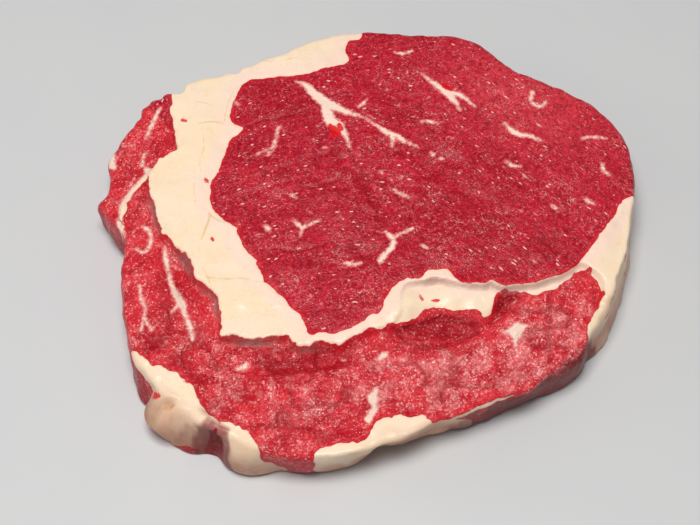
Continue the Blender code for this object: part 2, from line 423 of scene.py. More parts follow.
# %% Creases, each corner as x, y and half-width in mm
CREASES = (
    ("from the notch of the seam",
     (-39.5, 43.6, 0.4), (-35.1, 46.2, 0.5), (-30.6, 47.0, 0.5), (-25.0, 48.3, 0.3),
     (-20.0, 50.5, 0.1)),
    ("down from the branch",
     (-6.5, 36.0, 0.2), (-5.4, 31.7, 0.4), (-2.5, 25.8, 0.5), (-0.6, 20.2, 0.5),
     (0.8, 14.5, 0.4), (4.5, 10.0, 0.2)),
    ("arc beside it",
     (-21.0, 20.0, 0.2), (-15.8, 20.8, 0.5), (-12.1, 22.0, 0.5), (-9.5, 23.5, 0.3),
     (-7.0, 26.5, 0.1)),
    ("low arc", (-30.0, -2.0, 0.1), (-24.0, -3.4, 0.4), (-17.0, -2.0, 0.3), (-12.0, 0.6, 0.1)),
    ("below the kernel, upper",
     (10.5, -29.8, 0.3), (16.0, -27.8, 0.7), (22.0, -25.6, 0.6), (28.0, -26.4, 0.6),
     (34.0, -27.6, 0.3)),
    ("below the kernel, lower",
     (9.0, -30.6, 0.5), (13.0, -34.4, 0.6), (20.0, -35.4, 0.5), (27.0, -33.4, 0.4),
     (33.0, -30.4, 0.4)),
    ("beside the kernel's end",
     (37.0, -26.4, 0.6), (39.6, -22.6, 1.0), (41.5, -19.4, 0.8), (45.0, -18.6, 0.3)),
)
CREASE_SOFTNESS = 0.7
EYE_CREASE_DEPTH = 0.35
CAP_CREASE_EXTRA = 0.45


def near_zero(noise, width):
    """1 where the noise crosses zero, falling off as exp(-(noise / width)^2)."""
    return np.exp(-((noise / width) ** 2))


def crease_share(x, y, ground):
    """How deep in a crease a point is, 0 to 1: the drawn ones, and lines where slow noise crosses zero."""
    along, across = grain_at(x, y, ground)
    drawn = smooth_step(inside_threads(x, y, CREASES) + CREASE_SOFTNESS, 1.0)
    wandering = near_zero(rough(x, y, 6.5, 14), 0.2) * smooth_step(rough(x, y, 12.0, 15) + 0.35, 0.8)
    lengthwise = near_zero(rough(along / 3.0, across, 6.0, 16), 0.1)
    lengthwise *= smooth_step(rough(x, y, 11.0, 17), 0.6)
    in_cap = smooth_step(ground.cap, 2.0)
    in_far = smooth_step(ground.far, 1.5)
    in_eye = smooth_step(ground.eye, 2.0)
    of_cap = np.maximum(wandering, 0.6 * lengthwise) * in_cap
    of_eye = np.maximum(drawn, 0.5 * lengthwise * in_eye)
    return np.maximum(np.maximum(of_cap, of_eye), 0.8 * lengthwise * in_far)


# %% Unevenness of the cut face
# Strength in mm, size in mm and seed of each layer.
EYE_SWELL = ((0.4, 13.0, 1), (0.2, 5.0, 2))
FAT_FOLDS = ((0.42, 9.0, 8), (0.2, 3.6, 10), (0.06, 1.8, 9))
EYE_EDGE_DIP = 0.2
EYE_EDGE_WIDTH = 0.7


def grain_relief(x, y, ground):
    """Unevenness of the face in mm: gentle on the eye, lumpy on the cap, smooth on fat."""
    along, across = grain_at(x, y, ground)
    in_eye = smooth_step(ground.eye, 2.0)
    in_cap = smooth_step(ground.cap, 2.5)
    in_far = smooth_step(ground.far, 1.5)
    in_fat = 1.0 - np.maximum(np.maximum(in_eye, in_cap), in_far)
    # A coordinate along the fibres is shrunk, which draws the noise out into bundles.
    bundles = 0.13 * rough(along / 2.2, across, 1.9, 3) + 0.08 * rough(x, y, 1.4, 4)
    lumps = 1.0 * rough(x, y, 10.0, 5) + 0.6 * rough(along / 1.8, across, 3.6, 6)
    fibres = 0.4 * rough(along / 5.0, across, 2.2, 7)
    return (
        in_eye * (layered(x, y, EYE_SWELL) + bundles)
        + in_cap * (lumps + 1.8 * bundles)
        + in_far * (fibres + bundles)
        + in_fat * layered(x, y, FAT_FOLDS)
        - EYE_EDGE_DIP * near_zero(ground.eye, EYE_EDGE_WIDTH)
        - (EYE_CREASE_DEPTH + CAP_CREASE_EXTRA * in_cap) * crease_share(x, y, ground)
    )


print(len(CREASES), "creases are drawn")

# %% [markdown]
# ## The skin of the steak
#
# The cut face is a square grid bent onto a disc and then stretched to the outline, which
# leaves no pole in the middle. The wall is a profile carried round the rim, a half circle
# with squared shoulders. At the left, noise and a few named bits tear its edge, where the
# fat and the far muscle were pulled from their neighbours. The underside is a coarser
# disc, joined on by two rings of triangles that each halve the number of points. Every
# part is one whole array of points.

# %% Cut face, wall and underside as arrays
FACE_CELLS = 252
UNDER_CELLS = FACE_CELLS // 4
WALL_RINGS = 20
WALL_SQUARENESS = 0.42
SHOULDER_INSET = 4.5
SHOULDER_SWELLS = (
    # what it is, bearing, reach, how much wider the shoulder is, in mm
    ("crisp ridge of the right fat", 352.0, 24.0, -2.6),
    ("front edge", 276.0, 30.0, -1.6),
    ("left end", 200.0, 30.0, -1.0),
    ("sunk behind the front flap", 274.0, 3.6, 4.5),
)
TORN_EDGE = ("torn edge of the fat and the far muscle", 152.0, 40.0, 1.0)
# The torn edge's noise goes round a circle of this radius, so that it has no seam.
TORN_CIRCLE = 70.0
TORN_LAYERS = ((1.3, 5.2, 25), (0.8, 2.3, 26))
# The cut face reaches out and draws back with this share of the torn edge.
TORN_FACE_SHARE = 0.4
TORN_BITS = (
    # what it is, bearing, reach, how far out, in mm
    ("nick in the top fat", 125.0, 1.6, -1.6),
    ("lobe of the seam fat", 133.0, 2.4, 0.8),
    ("nick above the far muscle", 138.5, 2.4, -3.0),
    ("fat nub of the far muscle", 158.7, 2.8, 1.8),
    ("red nub", 170.5, 2.0, 0.6),
)
WALL_FOLDS = (
    # what it is, bearing, reach, how far out, in mm
    ("hollow behind the lump", 217.5, 2.6, -1.6),
    ("valley beside the lump", 234.0, 3.0, -4.0),
    ("pale lobe", 242.0, 4.6, 1.8),
    ("crease by the lobe", 249.5, 2.2, -1.2),
    ("flap at the front", 262.0, 9.0, 1.0),
    ("notch behind the flap", 272.5, 2.4, -1.8),
    ("bulge of the dark film", 326.0, 4.0, 1.4),
    ("crease by the bulge", 333.5, 2.0, -1.2),
)
WALL_LAYERS = ((0.5, 7.0, 21), (0.25, 2.6, 22))
# The folds open over this many mm below the rim.
FOLD_RUN = 6.0
WRINKLED = ("wrinkled right fat", 352.0, 18.0, 1.0)
WRINKLE_DEPTH = 0.55
WRINKLE_SIZE = 1.7
# Lengthwise the noise runs over this radius, much less than the rim's, which draws it out.
WRINKLE_RADIUS = 8.0


def disc_grid(cells):
    """The square from -1 to 1 bent onto the unit disc: (a sqrt(1 - b^2/2), b sqrt(1 - a^2/2))."""
    line = np.linspace(-1.0, 1.0, cells + 1)
    a, b = np.meshgrid(line, line)
    return (a * np.sqrt(1 - b * b / 2)).ravel(), (b * np.sqrt(1 - a * a / 2)).ravel()


def grid_quads(cells):
    """Corner numbers of every face of a square grid, turning left."""
    first = (np.arange(cells)[:, None] * (cells + 1) + np.arange(cells)[None, :]).ravel()
    return np.stack([first, first + 1, first + cells + 2, first + cells + 1], axis=1)


def grid_rim(cells):
    """Corner numbers round a square grid's edge, turning left from the lower left."""
    side = np.arange(cells)
    row = cells + 1
    return np.concatenate(
        [side, cells + side * row, row * row - 1 - side, (cells - side) * row]
    )


def wall_unrolled(bearing, depth):
    """Flat coordinates for patterns on the wall: the plan point as far outside the rim as it is deep."""
    radius = rim_radius(bearing) + depth
    return radius * np.cos(np.radians(bearing)), radius * np.sin(np.radians(bearing))


def torn(bearing):
    """How far out the edge is in mm where knife and fingers have torn it, from noise round a circle."""
    angle = np.radians(bearing)
    ragged = layered(TORN_CIRCLE * np.cos(angle), TORN_CIRCLE * np.sin(angle), TORN_LAYERS)
    return ragged * bumps_round(bearing, (TORN_EDGE,)) + bumps_round(bearing, TORN_BITS)


def shoulder_inset(bearing):
    """How far inside the widest line the cut face ends, in mm."""
    return SHOULDER_INSET + bumps_round(bearing, SHOULDER_SWELLS) - TORN_FACE_SHARE * torn(bearing)


def rim_raggedness(bearing, depth):
    """In-and-out of the wall in mm: roughness over the unrolled wall, folds, and lengthwise wrinkles."""
    ragged = layered(*wall_unrolled(bearing, depth), WALL_LAYERS)
    folds = bumps_round(bearing, WALL_FOLDS) * smooth_step(depth, FOLD_RUN)
    wrinkles = WRINKLE_DEPTH * rough(np.radians(bearing) * WRINKLE_RADIUS, depth, WRINKLE_SIZE, 23)
    return ragged + folds + wrinkles * bumps_round(bearing, (WRINKLED,)) + torn(bearing)


def face_points():
    """Plan points of the cut face and everything surveyed there."""
    disc_x, disc_y = disc_grid(FACE_CELLS)
    bearing = np.degrees(np.arctan2(disc_y, disc_x))
    reach = rim_radius(bearing) - shoulder_inset(bearing)
    x, y = disc_x * reach, disc_y * reach + CENTRE_Y
    return x, y, survey(x, y)


def wall_points(bearing, rim_height, shares):
    """The wall, ring by ring: out = sin^p, side = cos^p of half a turn, plus the foot's spread."""
    turn = math.pi * shares[:, None]
    out = np.maximum(np.sin(turn), 0.0) ** WALL_SQUARENESS
    side = np.sign(np.cos(turn)) * np.abs(np.cos(turn)) ** WALL_SQUARENESS
    height_share = 0.5 * (1.0 + side)
    angle = np.radians(bearing)[None, :]
    spread = bumps_round(bearing, FOOT_SPREADS)[None, :] * (1.0 - height_share)
    radius = rim_radius(bearing)[None, :] - shoulder_inset(bearing)[None, :] * (1.0 - out) + spread
    z = rim_height[None, :] * height_share
    depth = rim_height[None, :] - z
    radius += out * rim_raggedness(np.broadcast_to(bearing[None, :], depth.shape), depth)
    return radius * np.cos(angle), radius * np.sin(angle) + CENTRE_Y, z, depth


face_x, face_y, face = face_points()
face_z = face.height + grain_relief(face_x, face_y, face)
rim = grid_rim(FACE_CELLS)
rim_bearing = np.degrees(np.arctan2(face_y[rim] - CENTRE_Y, face_x[rim]))
# The rings stand half evenly and half crowded towards the two shoulders.
even = np.linspace(0.0, 1.0, WALL_RINGS + 1)
shares = 0.5 * even + 0.5 * (1.0 - np.cos(even * math.pi)) / 2.0
wall_x, wall_y, wall_z, wall_depth = wall_points(rim_bearing, face_z[rim], shares[1:])
print("cut face points:", face_x.size, " wall points:", wall_x.size)
print(f"cut face height from {face_z.min():.1f} to {face_z.max():.1f} mm")

# %% Underside inside the foot of the wall
FOOT_MARGIN = 2.4
under_disc_x, under_disc_y = disc_grid(UNDER_CELLS)
under_bearing = np.degrees(np.arctan2(under_disc_y, under_disc_x))
foot_radius = (
    rim_radius(under_bearing)
    - shoulder_inset(under_bearing)
    + bumps_round(under_bearing, FOOT_SPREADS)
    - FOOT_MARGIN
)
# A ring between foot and grid lets the number of points be halved twice.
between_pull = 1.0 - 0.5 * FOOT_MARGIN / rim_radius(rim_bearing[::2])
between_x = wall_x[-1, ::2] * between_pull
between_y = CENTRE_Y + (wall_y[-1, ::2] - CENTRE_Y) * between_pull
under_x = np.concatenate([between_x, under_disc_x * foot_radius])
under_y = np.concatenate([between_y, under_disc_y * foot_radius + CENTRE_Y])
under_z = np.zeros_like(under_x)
print("underside points:", under_x.size)

# %% Faces that join the three


def ring_quads(upper, lower):
    """Quads between two rings of equal count, facing out for rings that turn left."""
    return np.stack([upper, lower, np.roll(lower, -1), np.roll(upper, -1)], axis=1)


def halving_triangles(fine, coarse):
    """Three triangles for each pair of fine edges, down to one coarse edge."""
    a, b, c = fine[0::2], fine[1::2], np.roll(fine[0::2], -1)
    p, q = coarse, np.roll(coarse, -1)
    parts = [np.stack(t, axis=1) for t in ((a, p, b), (b, p, q), (b, q, c))]
    return np.concatenate(parts)


wall_start = face_x.size
under_start = wall_start + wall_x.size
rings = [rim] + [
    wall_start + ring * rim.size + np.arange(rim.size) for ring in range(WALL_RINGS)
]
quads = [grid_quads(FACE_CELLS)]
quads += [ring_quads(upper, lower) for upper, lower in zip(rings[:-1], rings[1:])]
between = under_start + np.arange(between_x.size)
under_grid_start = under_start + between.size
quads += [grid_quads(UNDER_CELLS)[:, ::-1] + under_grid_start]
quads = np.concatenate(quads)
triangles = np.concatenate(
    [
        halving_triangles(rings[-1], between),
        halving_triangles(between, grid_rim(UNDER_CELLS) + under_grid_start),
    ]
)
print("quads:", len(quads), " triangles:", len(triangles))

# %% [markdown]
# ## The rolled lump of fat
#
# At the lower left a strip of edge fat has rolled up on itself and hangs over the side.
# It is an ellipsoid that pushes out every point of the skin it swallows, with a small
# hole where the roll turns in. A separate ball would leave a hard seam; pushing the skin
# keeps one closed surface, and a soft limit keeps the join from being a knife edge.

# %% Push the skin out over the lump
LUMP_CENTRE = (-60.6, -52.6, 8.0)
LUMP_RADII = (8.2, 7.4, 7.6)
# x, y, half-length, half-width, turn in degrees, then the depth or the height in mm.
LUMP_HOLE = (-61.2, -53.4, 2.8, 1.3, 8.0, 4.6)
LUMP_LIP = (-61.0, -53.4, 4.8, 3.4, 8.0, 1.6)
# Hole and lip are cut only into what lies this far above the lump's centre.
LUMP_TOP_RISE = 2.0
PUSH_POWER = 6.0
PUSH_FADE = 0.5
LEAST_DISTANCE = 0.05
MOST_PUSH = 6.0


def push_out(points, centre, radii):
    """Moves points inside an ellipsoid to its surface: distance d becomes (d^6 + 1)^(1/6), fading by 1.5."""
    away = (points - centre) / radii
    distance = np.linalg.norm(away, axis=1)
    reach = (distance**PUSH_POWER + 1.0) ** (1.0 / PUSH_POWER)
    fade = 1.0 - smooth_step(distance - 1.0, PUSH_FADE)
    scale = 1.0 + fade * (reach / np.maximum(distance, LEAST_DISTANCE) - 1.0)
    # Points near the middle would all fly apart, and the skin never passes there.
    return centre + away * np.minimum(scale, MOST_PUSH)[:, None] * radii


def lump_relief(x, y):
    """Rise of the lump's top in mm: a lip round a hole."""
    *hole, depth = LUMP_HOLE
    *lip, height = LUMP_LIP
    return height * tilted_bell(x, y, *lip) - depth * tilted_bell(x, y, *hole)


points = np.stack(
    [
        np.concatenate([face_x, wall_x.ravel(), under_x]),
        np.concatenate([face_y, wall_y.ravel(), under_y]),
        np.concatenate([face_z, wall_z.ravel(), under_z]),
    ],
    axis=1,
)
above_ground = points[:, 2] > 0.0
points[above_ground] = push_out(points[above_ground], LUMP_CENTRE, LUMP_RADII)
points[:, 2] = np.maximum(points[:, 2], 0.0)
on_top = points[:, 2] > LUMP_CENTRE[2] + LUMP_TOP_RISE
points[on_top, 2] += lump_relief(points[on_top, 0], points[on_top, 1])
middle = (points.min(axis=0) + points.max(axis=0))[:2] / 2.0
print("triangles in all:", 2 * len(quads) + len(triangles))
print("middle of the plan, mm:", middle.round(2))


def mesh_from_arrays(name, points, quads, triangles):
    """A mesh in metres whose faces are the quads and then the triangles."""
    mesh = bpy.data.meshes.new(name)
    corners = np.concatenate([quads.ravel(), triangles.ravel()]).astype(np.int32)
    starts = np.concatenate(
        [np.arange(len(quads)) * 4, quads.size + np.arange(len(triangles)) * 3]
    )
    mesh.vertices.add(len(points))
    mesh.vertices.foreach_set("co", (points * MM).ravel())
    mesh.loops.add(len(corners))
    mesh.loops.foreach_set("vertex_index", corners)
    mesh.polygons.add(len(starts))
    mesh.polygons.foreach_set("loop_start", starts.astype(np.int32))
    mesh.update(calc_edges=True)
    mesh.validate()
    mesh.shade_smooth()
    return mesh


placed = points - [middle[0], middle[1], 0.0]
placed[:, 2] -= placed[:, 2].min()
skin = mesh_from_arrays("steak_skin", placed, quads, triangles)
steak = bpy.data.objects.new("ribeye_steak", skin)
bpy.context.scene.collection.objects.link(steak)
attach(steak, "root")
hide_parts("steak")

# %% [markdown]
# ## Marbling
#
# Between the bundles of the eye lie threads of fat. Each is a path with a half-width at
# every corner. The skin stores how far inside the nearest thread a point is, so a thread
# can taper, fork and fray without any extra faces.

# %% Threads of fat, each corner as x, y and half-width in mm
THREADS = (
    ("main vein of the eye",
     (-23.8, 62.0, 0.4), (-20.5, 60.0, 1.0), (-18, 57, 1.5), (-14.5, 53.8, 1.8),
     (-10.5, 51.4, 1.5), (-7.0, 49.2, 1.0), (-2.5, 47.4, 0.4), (1.5, 44.6, 0.3),
     (5.5, 41.2, 0.9), (9.0, 39.6, 0.9), (12.5, 37.2, 0.5), (16.0, 35.4, 0.3)),
    ("fork of the main vein", (6.5, 41.0, 0.6), (8.0, 38.5, 0.7), (7.5, 35.5, 0.3)),
    ("branch off the main vein",
     (-14.5, 53.5, 1.2), (-13.6, 50.0, 1.8), (-12.4, 46.0, 2.0), (-10.4, 44.0, 2.0),
     (-8.6, 41.6, 1.4), (-7.0, 38.8, 0.7), (-6.2, 35.5, 0.4)),
    ("upper vein",
     (18.0, 64.8, 0.3), (20.0, 62.6, 0.5), (22.6, 60.0, 1.0), (25.4, 57.8, 1.3),
     (27.4, 55.0, 1.3), (29.0, 52.4, 0.8), (30.0, 49.6, 0.3)),
    ("fork of the upper vein",
     (26.5, 57.0, 1.0), (29.8, 56.4, 0.9), (32.6, 54.2, 0.7), (35.2, 51.6, 0.3)),
    ("right vein",
     (44.6, 44.8, 0.5), (46.5, 42.4, 0.8), (49.5, 40.6, 0.9), (52.5, 40.2, 0.7),
     (56.0, 38.4, 0.5)),
    ("edge twig", (54.4, 57.5, 0.8), (53.8, 54.0, 0.4), (56.5, 52.0, 0.6), (59.0, 54.0, 0.4)),
    ("low right twig", (44.2, 29.6, 0.4), (46.4, 28.2, 0.6), (49.0, 28.2, 0.3)),
    ("middle twig", (17.2, 45.2, 0.3), (19.8, 45.4, 0.6), (22.8, 44.6, 0.3)),
    ("left twig", (-29.0, 43.5, 0.5), (-30.2, 39.0, 0.5), (-30.8, 35.5, 0.5), (-33.0, 32.0, 0.3)),
    ("left twig's arm", (-30.8, 35.8, 0.3), (-36.0, 33.0, 0.3)),
    ("low star, right arm",
     (-24.0, 7.8, 0.3), (-21.2, 5.4, 0.7), (-18.4, 6.6, 0.4), (-15.4, 8.2, 0.3)),
    ("low star, foot", (-21.2, 5.4, 0.5), (-21.6, 1.6, 0.3)),
    ("low spot", (-32.4, 5.4, 0.8), (-31.6, 4.6, 0.8)),
    ("lower fork, left",
     (5.0, 3.6, 0.4), (7.4, 0.8, 0.8), (7.2, -2.2, 0.8), (4.6, -5.0, 1.0), (3.4, -6.8, 0.9)),
    ("lower fork, right", (7.4, 0.8, 0.5), (10.0, 2.6, 0.4), (13.8, 4.4, 0.3)),
    ("pale ridge", (-7.5, -7.2, 0.5), (-4.6, -8.0, 0.6), (-2.4, -7.4, 0.3)),
    ("star of the middle", (8.0, 19.0, 0.2), (11.2, 16.6, 0.5), (13.6, 16.2, 0.2)),
    ("right edge twig", (69.5, 39.4, 0.3), (73.0, 40.2, 0.5), (77.5, 39.6, 0.3)),
    ("right hook", (75.4, 29.4, 0.5), (75.8, 26.4, 0.6), (77.6, 25.2, 0.4)),
    ("right star", (68.6, 15.6, 0.3), (70.0, 15.0, 0.7), (71.8, 13.6, 0.3)),
    ("right spot", (58.4, 12.8, 0.6), (59.2, 12.2, 0.5)),
    ("top twig", (9.0, 74.0, 0.3), (12.0, 73.4, 0.5), (15.0, 75.0, 0.3)),
    ("spot by the seam", (-43.6, 53.2, 0.5), (-43.0, 52.8, 0.5)),
    ("specks past the main vein", (20.0, 33.0, 0.3), (21.0, 32.4, 0.5)),
    ("last speck", (23.0, 31.3, 0.3), (23.8, 31.0, 0.4)),
    ("speck of the middle", (3.4, 26.2, 0.3), (4.4, 25.6, 0.5)),
    ("speck left of the middle", (-24.6, 17.2, 0.5), (-23.4, 16.6, 0.5)),
    ("twig above the main vein", (-3.4, 51.0, 0.2), (-1.7, 52.2, 0.5), (-0.6, 54.2, 0.2)),
    ("long vein of the cap",
     (-64.5, 0.0, 0.5), (-64.0, -4.0, 0.9), (-62.8, -9.0, 0.6), (-61.6, -13.5, 0.8),
     (-60.0, -17.0, 1.3), (-58.0, -20.5, 1.3), (-56.6, -25.0, 0.6), (-54.8, -29.0, 0.8),
     (-54.2, -32.5, 0.5)),
    ("arm of the long vein", (-58.6, -20.5, 0.6), (-60.8, -23.5, 0.4)),
    ("left vein of the cap",
     (-71.6, -14.0, 0.3), (-70.8, -18.0, 0.6), (-69.2, -22.0, 0.5), (-70.4, -28.5, 0.4)),
    ("left vein's arm", (-69.6, -25.0, 0.5), (-66.8, -29.0, 0.3)),
    ("low blotch of the cap",
     (2.0, -49.4, 0.7), (0.8, -52.0, 1.6), (1.4, -55.0, 1.0), (-0.6, -58.6, 1.2)),
    ("star of the cap, long arm", (41.6, -30.8, 0.6), (45.0, -30.2, 1.9), (48.0, -28.6, 0.5)),
    ("star of the cap, short arm", (44.4, -34.5, 0.5), (45.0, -30.5, 1.5), (45.6, -27.4, 0.4)),
    ("small patch of the cap", (2.6, -40.2, 0.4), (4.2, -38.8, 1.1), (5.4, -37.6, 0.5)),
    ("left patch of the cap", (-40.6, -42.4, 0.3), (-38.6, -42.0, 1.0), (-37.2, -40.4, 0.4)),
    ("upper streak of the far muscle", (-69.0, 53.5, 0.5), (-71.4, 48.0, 0.8), (-73.4, 42.6, 0.4)),
    ("lower streak of the far muscle", (-73.4, 36.6, 0.5), (-74.0, 31.8, 0.6)),
    ("fat on the far muscle's edge",
     (-81.5, 45.6, 0.5), (-84.2, 38.8, 1.3), (-84.4, 33.6, 1.6), (-82.8, 31.8, 0.8)),
    ("wedge above the ragged strip", (-72.8, 30.8, 0.5), (-71.4, 28.8, 1.5), (-69.6, 27.0, 1.3)),
    ("horn of fat on the far muscle", (-66.0, 60.6, 0.4), (-64.2, 60.8, 0.8), (-62.6, 57.5, 0.6)),
    ("ragged strip below the far muscle",
     (-71.4, 28.6, 0.8), (-75.0, 24.4, 0.7), (-77.2, 20.2, 1.0), (-79.2, 16.4, 0.9),
     (-79.4, 12.2, 0.6), (-79.6, 8.8, 1.0), (-77.6, 4.5, 0.6)),
    ("pale loop of the cap",
     (-71.9, 7.3, 0.4), (-69.6, 5.8, 0.6), (-69.2, 1.4, 0.5), (-71.3, -1.9, 0.6),
     (-73.3, -0.5, 0.4)),
)
face_threads = inside_threads(face_x, face_y, THREADS)
print(len(THREADS), "threads cover", int((face_threads > 0).sum()), "points of the cut face")

# %% [markdown]
# ## Blood, cracks and films
#
# Drops of blood sit on the fat and in the veins, and fine tan cracks run through the fat; in the hole of the
# rolled lump the same paint is a painted shadow. On the wall, meat and fat change places, and a membrane
# lies over them, dark and purple where meat shows through it; beside the rolled lump and in part on the
# lower right the same dark is painted shade. Each is a path or a loop again. On the wall the corners are a
# bearing and a depth below the rim, so the paint follows the side down.

# %% Blood spots, cracks and one painted shadow, each corner as x, y and half-width in mm
BLOOD = (
    ("on the branch, left",
     (-12.6, 44.4, 0.5), (-12.2, 43.4, 1.0), (-10.8, 41.8, 1.3), (-9.6, 40.4, 0.8)),
    ("on the branch, right", (-9.8, 44.2, 0.7), (-8.8, 42.4, 0.8)),
    ("on the branch, low", (-12.6, 40.6, 0.3), (-11.4, 39.2, 0.5)),
    ("on the upper vein", (24.4, 60.6, 0.4), (25.8, 59.2, 0.9), (27.6, 58.0, 0.4)),
    ("on the seam fat, upper", (-52.6, 23.6, 0.5), (-51.8, 22.4, 0.6)),
    ("on the seam fat, lower", (-49.6, 1.6, 0.3), (-49.2, 0.8, 0.4)),
    ("on the kernel, left", (15.4, -18.6, 0.3), (16.4, -20.4, 0.4)),
    ("on the kernel, right", (19.6, -20.4, 0.3), (21.2, -20.4, 0.3)),
    ("in the notch of the lump", (-66.4, -48.0, 0.6), (-64.8, -49.8, 0.9), (-63.6, -50.6, 0.4)),
    ("on the strip above the lump", (-56.4, -46.2, 0.2), (-54.6, -46.6, 0.35)),
    ("blush on the upper fat", (-61.0, 47.2, 0.5), (-60.0, 46.4, 0.6)),
)
CRACKS_AND_SHADOW = (
    ("short, upper left", (-56.0, 22.0, 0.10), (-55.8, 18.5, 0.16), (-55.0, 13.4, 0.12)),
    ("long, beside the eye",
     (-50.6, 11.0, 0.2), (-50.6, 8.3, 0.3), (-51.6, 4.6, 0.28), (-52.8, 0.8, 0.14)),
    ("under the pale edge", (-50.8, 11.0, 0.22), (-48.6, 8.4, 0.2), (-45.4, 6.8, 0.12)),
    ("in the upper fat", (-44.5, 58.4, 0.1), (-46.3, 52.7, 0.22), (-47.2, 46.2, 0.18)),
    # A painted shadow in the hole of the rolled lump, in the cracks' paint.
    ("shadow in the hole of the lump",
     (-63.4, -54.0, 0.3), (-61.4, -53.8, 0.9), (-59.0, -53.2, 0.4)),
    ("across, first", (-57.2, 53.9, 0.12), (-53.5, 53.3, 0.2), (-50.8, 51.9, 0.1)),
    ("across, second", (-56.2, 44.6, 0.1), (-51.2, 45.6, 0.18), (-47.3, 45.0, 0.12)),
    ("along the band",
     (-54.4, 43.4, 0.1), (-53.4, 36.0, 0.16), (-54.6, 31.0, 0.16), (-54.0, 26.6, 0.1)),
    ("low, across",
     (-50.6, -12.4, 0.12), (-46.0, -13.4, 0.18), (-38.8, -13.2, 0.12), (-33.0, -14.8, 0.1)),
    ("low, down", (-52.0, -9.0, 0.1), (-50.0, -13.0, 0.2), (-49.0, -16.0, 0.14)),
    ("top band", (-36.0, 71.0, 0.1), (-30.0, 70.2, 0.16), (-24.0, 71.6, 0.1)),
)
WALL_BLOOD = (
    ("on the right fat, upper", (356.5, 0.8, 0.3), (355.6, 2.0, 0.8), (354.8, 3.6, 0.4)),
    ("on the right fat, lower", (354.2, 8.6, 0.3), (354.4, 10.8, 0.9), (353.6, 13.2, 0.4)),
    ("streak on the right fat", (346.0, 1.6, 0.3), (343.0, 2.6, 0.5), (339.5, 3.4, 0.3)),
    ("low streak on the right fat", (345.0, 6.0, 0.2), (341.0, 7.4, 0.5), (337.0, 8.4, 0.3)),
)
skin_x, skin_y = points[:, 0], points[:, 1]
skin_blood = inside_threads(skin_x, skin_y, BLOOD)
skin_cracks_and_shadow = inside_threads(skin_x, skin_y, CRACKS_AND_SHADOW)
print(len(BLOOD), "blood spots and", len(CRACKS_AND_SHADOW), "cracks")

# %% Paint of the wall: each corner is a bearing in degrees and a depth below the rim in mm
WALL_MEAT = (
    ("under the strip at the left",
     (194, -4), (205, 0.4), (209, 2.4), (213, 3.4), (216.5, 4.2), (218.4, 8), (218.6, 26),
     (194, 26)),
    ("red of the valley",
     (232.8, 5), (233.8, 1.4), (235.0, 0), (236.2, 3), (236.6, 9), (238, 27), (233, 27)),
    ("under the lump",
     (218, 12.6), (222, 14.2), (226, 15.6), (229, 14), (231.5, 15.6), (231, 27), (218, 27)),
)
WALL_FAT = (
    ("pale lobe",
     (236.5, -2), (243.6, -1), (245.4, 3), (248, 8), (250.5, 13), (252, 26), (238, 26),
     (238, 8)),
    ("under the wet red line",
     (283, 1.2), (288, 1.6), (292, 2.4), (296, 5.5), (298, 9), (299, 27), (283, 27)),
)
WALL_LINES = (
    # the half-width in mm comes third
    ("fat along the front rim",
     (291, 2.0, 0.3), (295, 1.5, 0.8), (299.7, 1.2, 0.9), (304, 1.2, 0.7), (309, 1.4, 0.3)),
)
WALL_FILMS_AND_SHADE = (
    # what it is, strength, then the corners
    # Partly membrane and partly painted shade.
    ("lower right", 0.95,
     (301, 3.2), (312, 1.6), (322, 1.6), (330, 1.0), (333.5, 4), (335, 27), (299, 27)),
    ("under the front line", 0.7, (294, 5.5), (300, 3.0), (303, 27), (291, 27)),
    ("purple valley", 0.85,
     (229.4, 5), (231, 1.0), (232, -4), (236.4, -4), (238.6, 1), (240, 8), (241, 14),
     (242, 27), (230, 27), (229.8, 12)),
    # A painted shadow under the rolled lump.
    ("shade beside the roll", 0.4,
     (226, 7), (228, 3.4), (230.5, 1.6), (232, 8), (233, 27), (225, 27)),
    ("left end", 0.5, (206, 3.4), (216, 5), (218, 27), (196, 27), (190, 8)),
    ("back of the eye", 0.6, (16, 5), (50, 4), (96, 5), (104, 27), (12, 27)),
    ("back of the far muscle", 0.5, (136, 5), (150, 4), (176, 6), (180, 27), (132, 27)),
)
# Length of one degree along the rim.
MM_PER_DEGREE = 1.4
# Tan here is partly the fat's own tan and partly painted shade, strongest on the front, which faces down.
TAN_AND_SHADE_SIDES = (
    # what it is, bearing, reach, strength
    ("front fat", 283.0, 12.0, 0.9),
    ("rolled lump", 223.0, 8.0, 0.6),
    ("pale lobe", 242.0, 5.0, 0.4),
    ("right fat, lower end", 340.0, 8.0, 0.4),
)


def in_mm_of_rim(corners):
    """The same corners with their bearings turned into mm along the rim."""
    return [(bearing * MM_PER_DEGREE, *others) for bearing, *others in corners]


def depth_in_wall_loop(bearing, depth, corners):
    """Depth in mm inside a closed loop on the unrolled wall."""
    loop = smooth_path(in_mm_of_rim(corners), closed=True, steps=4)
    return depth_inside(bearing * MM_PER_DEGREE, depth, loop)


def inside_wall_threads(bearing, depth, threads):
    """The threads' greatest value of (half-width - distance) on the unrolled wall, in mm."""
    unrolled = [(name, *in_mm_of_rim(corners)) for name, *corners in threads]
    return inside_threads(bearing * MM_PER_DEGREE, depth, unrolled)


print(len(WALL_MEAT) + len(WALL_FAT), "loops of meat and fat and", len(WALL_FILMS_AND_SHADE), "films on the wall")

# %% [markdown]
# ## Sides and underside
#
# The muscles run right through the steak, so the side shows at each bearing what the plan
# has there, drifting a little on the way down. The painted loops then add meat or take it
# away. The underside is cut from the same muscles, so it is surveyed like the cut face.

# %% What the wall and the underside are made of
# Meat and fat on the wall drift sideways by up to this angle in radians as they go down.
WALL_DRIFT = 0.02
WALL_FRAY = 0.8
FILM_FRAY = 1.5
FILM_SOFTNESS = 2.0
wall_bearing = np.broadcast_to(rim_bearing[None, :] % 360.0, wall_depth.shape).ravel()
down = wall_depth.ravel()
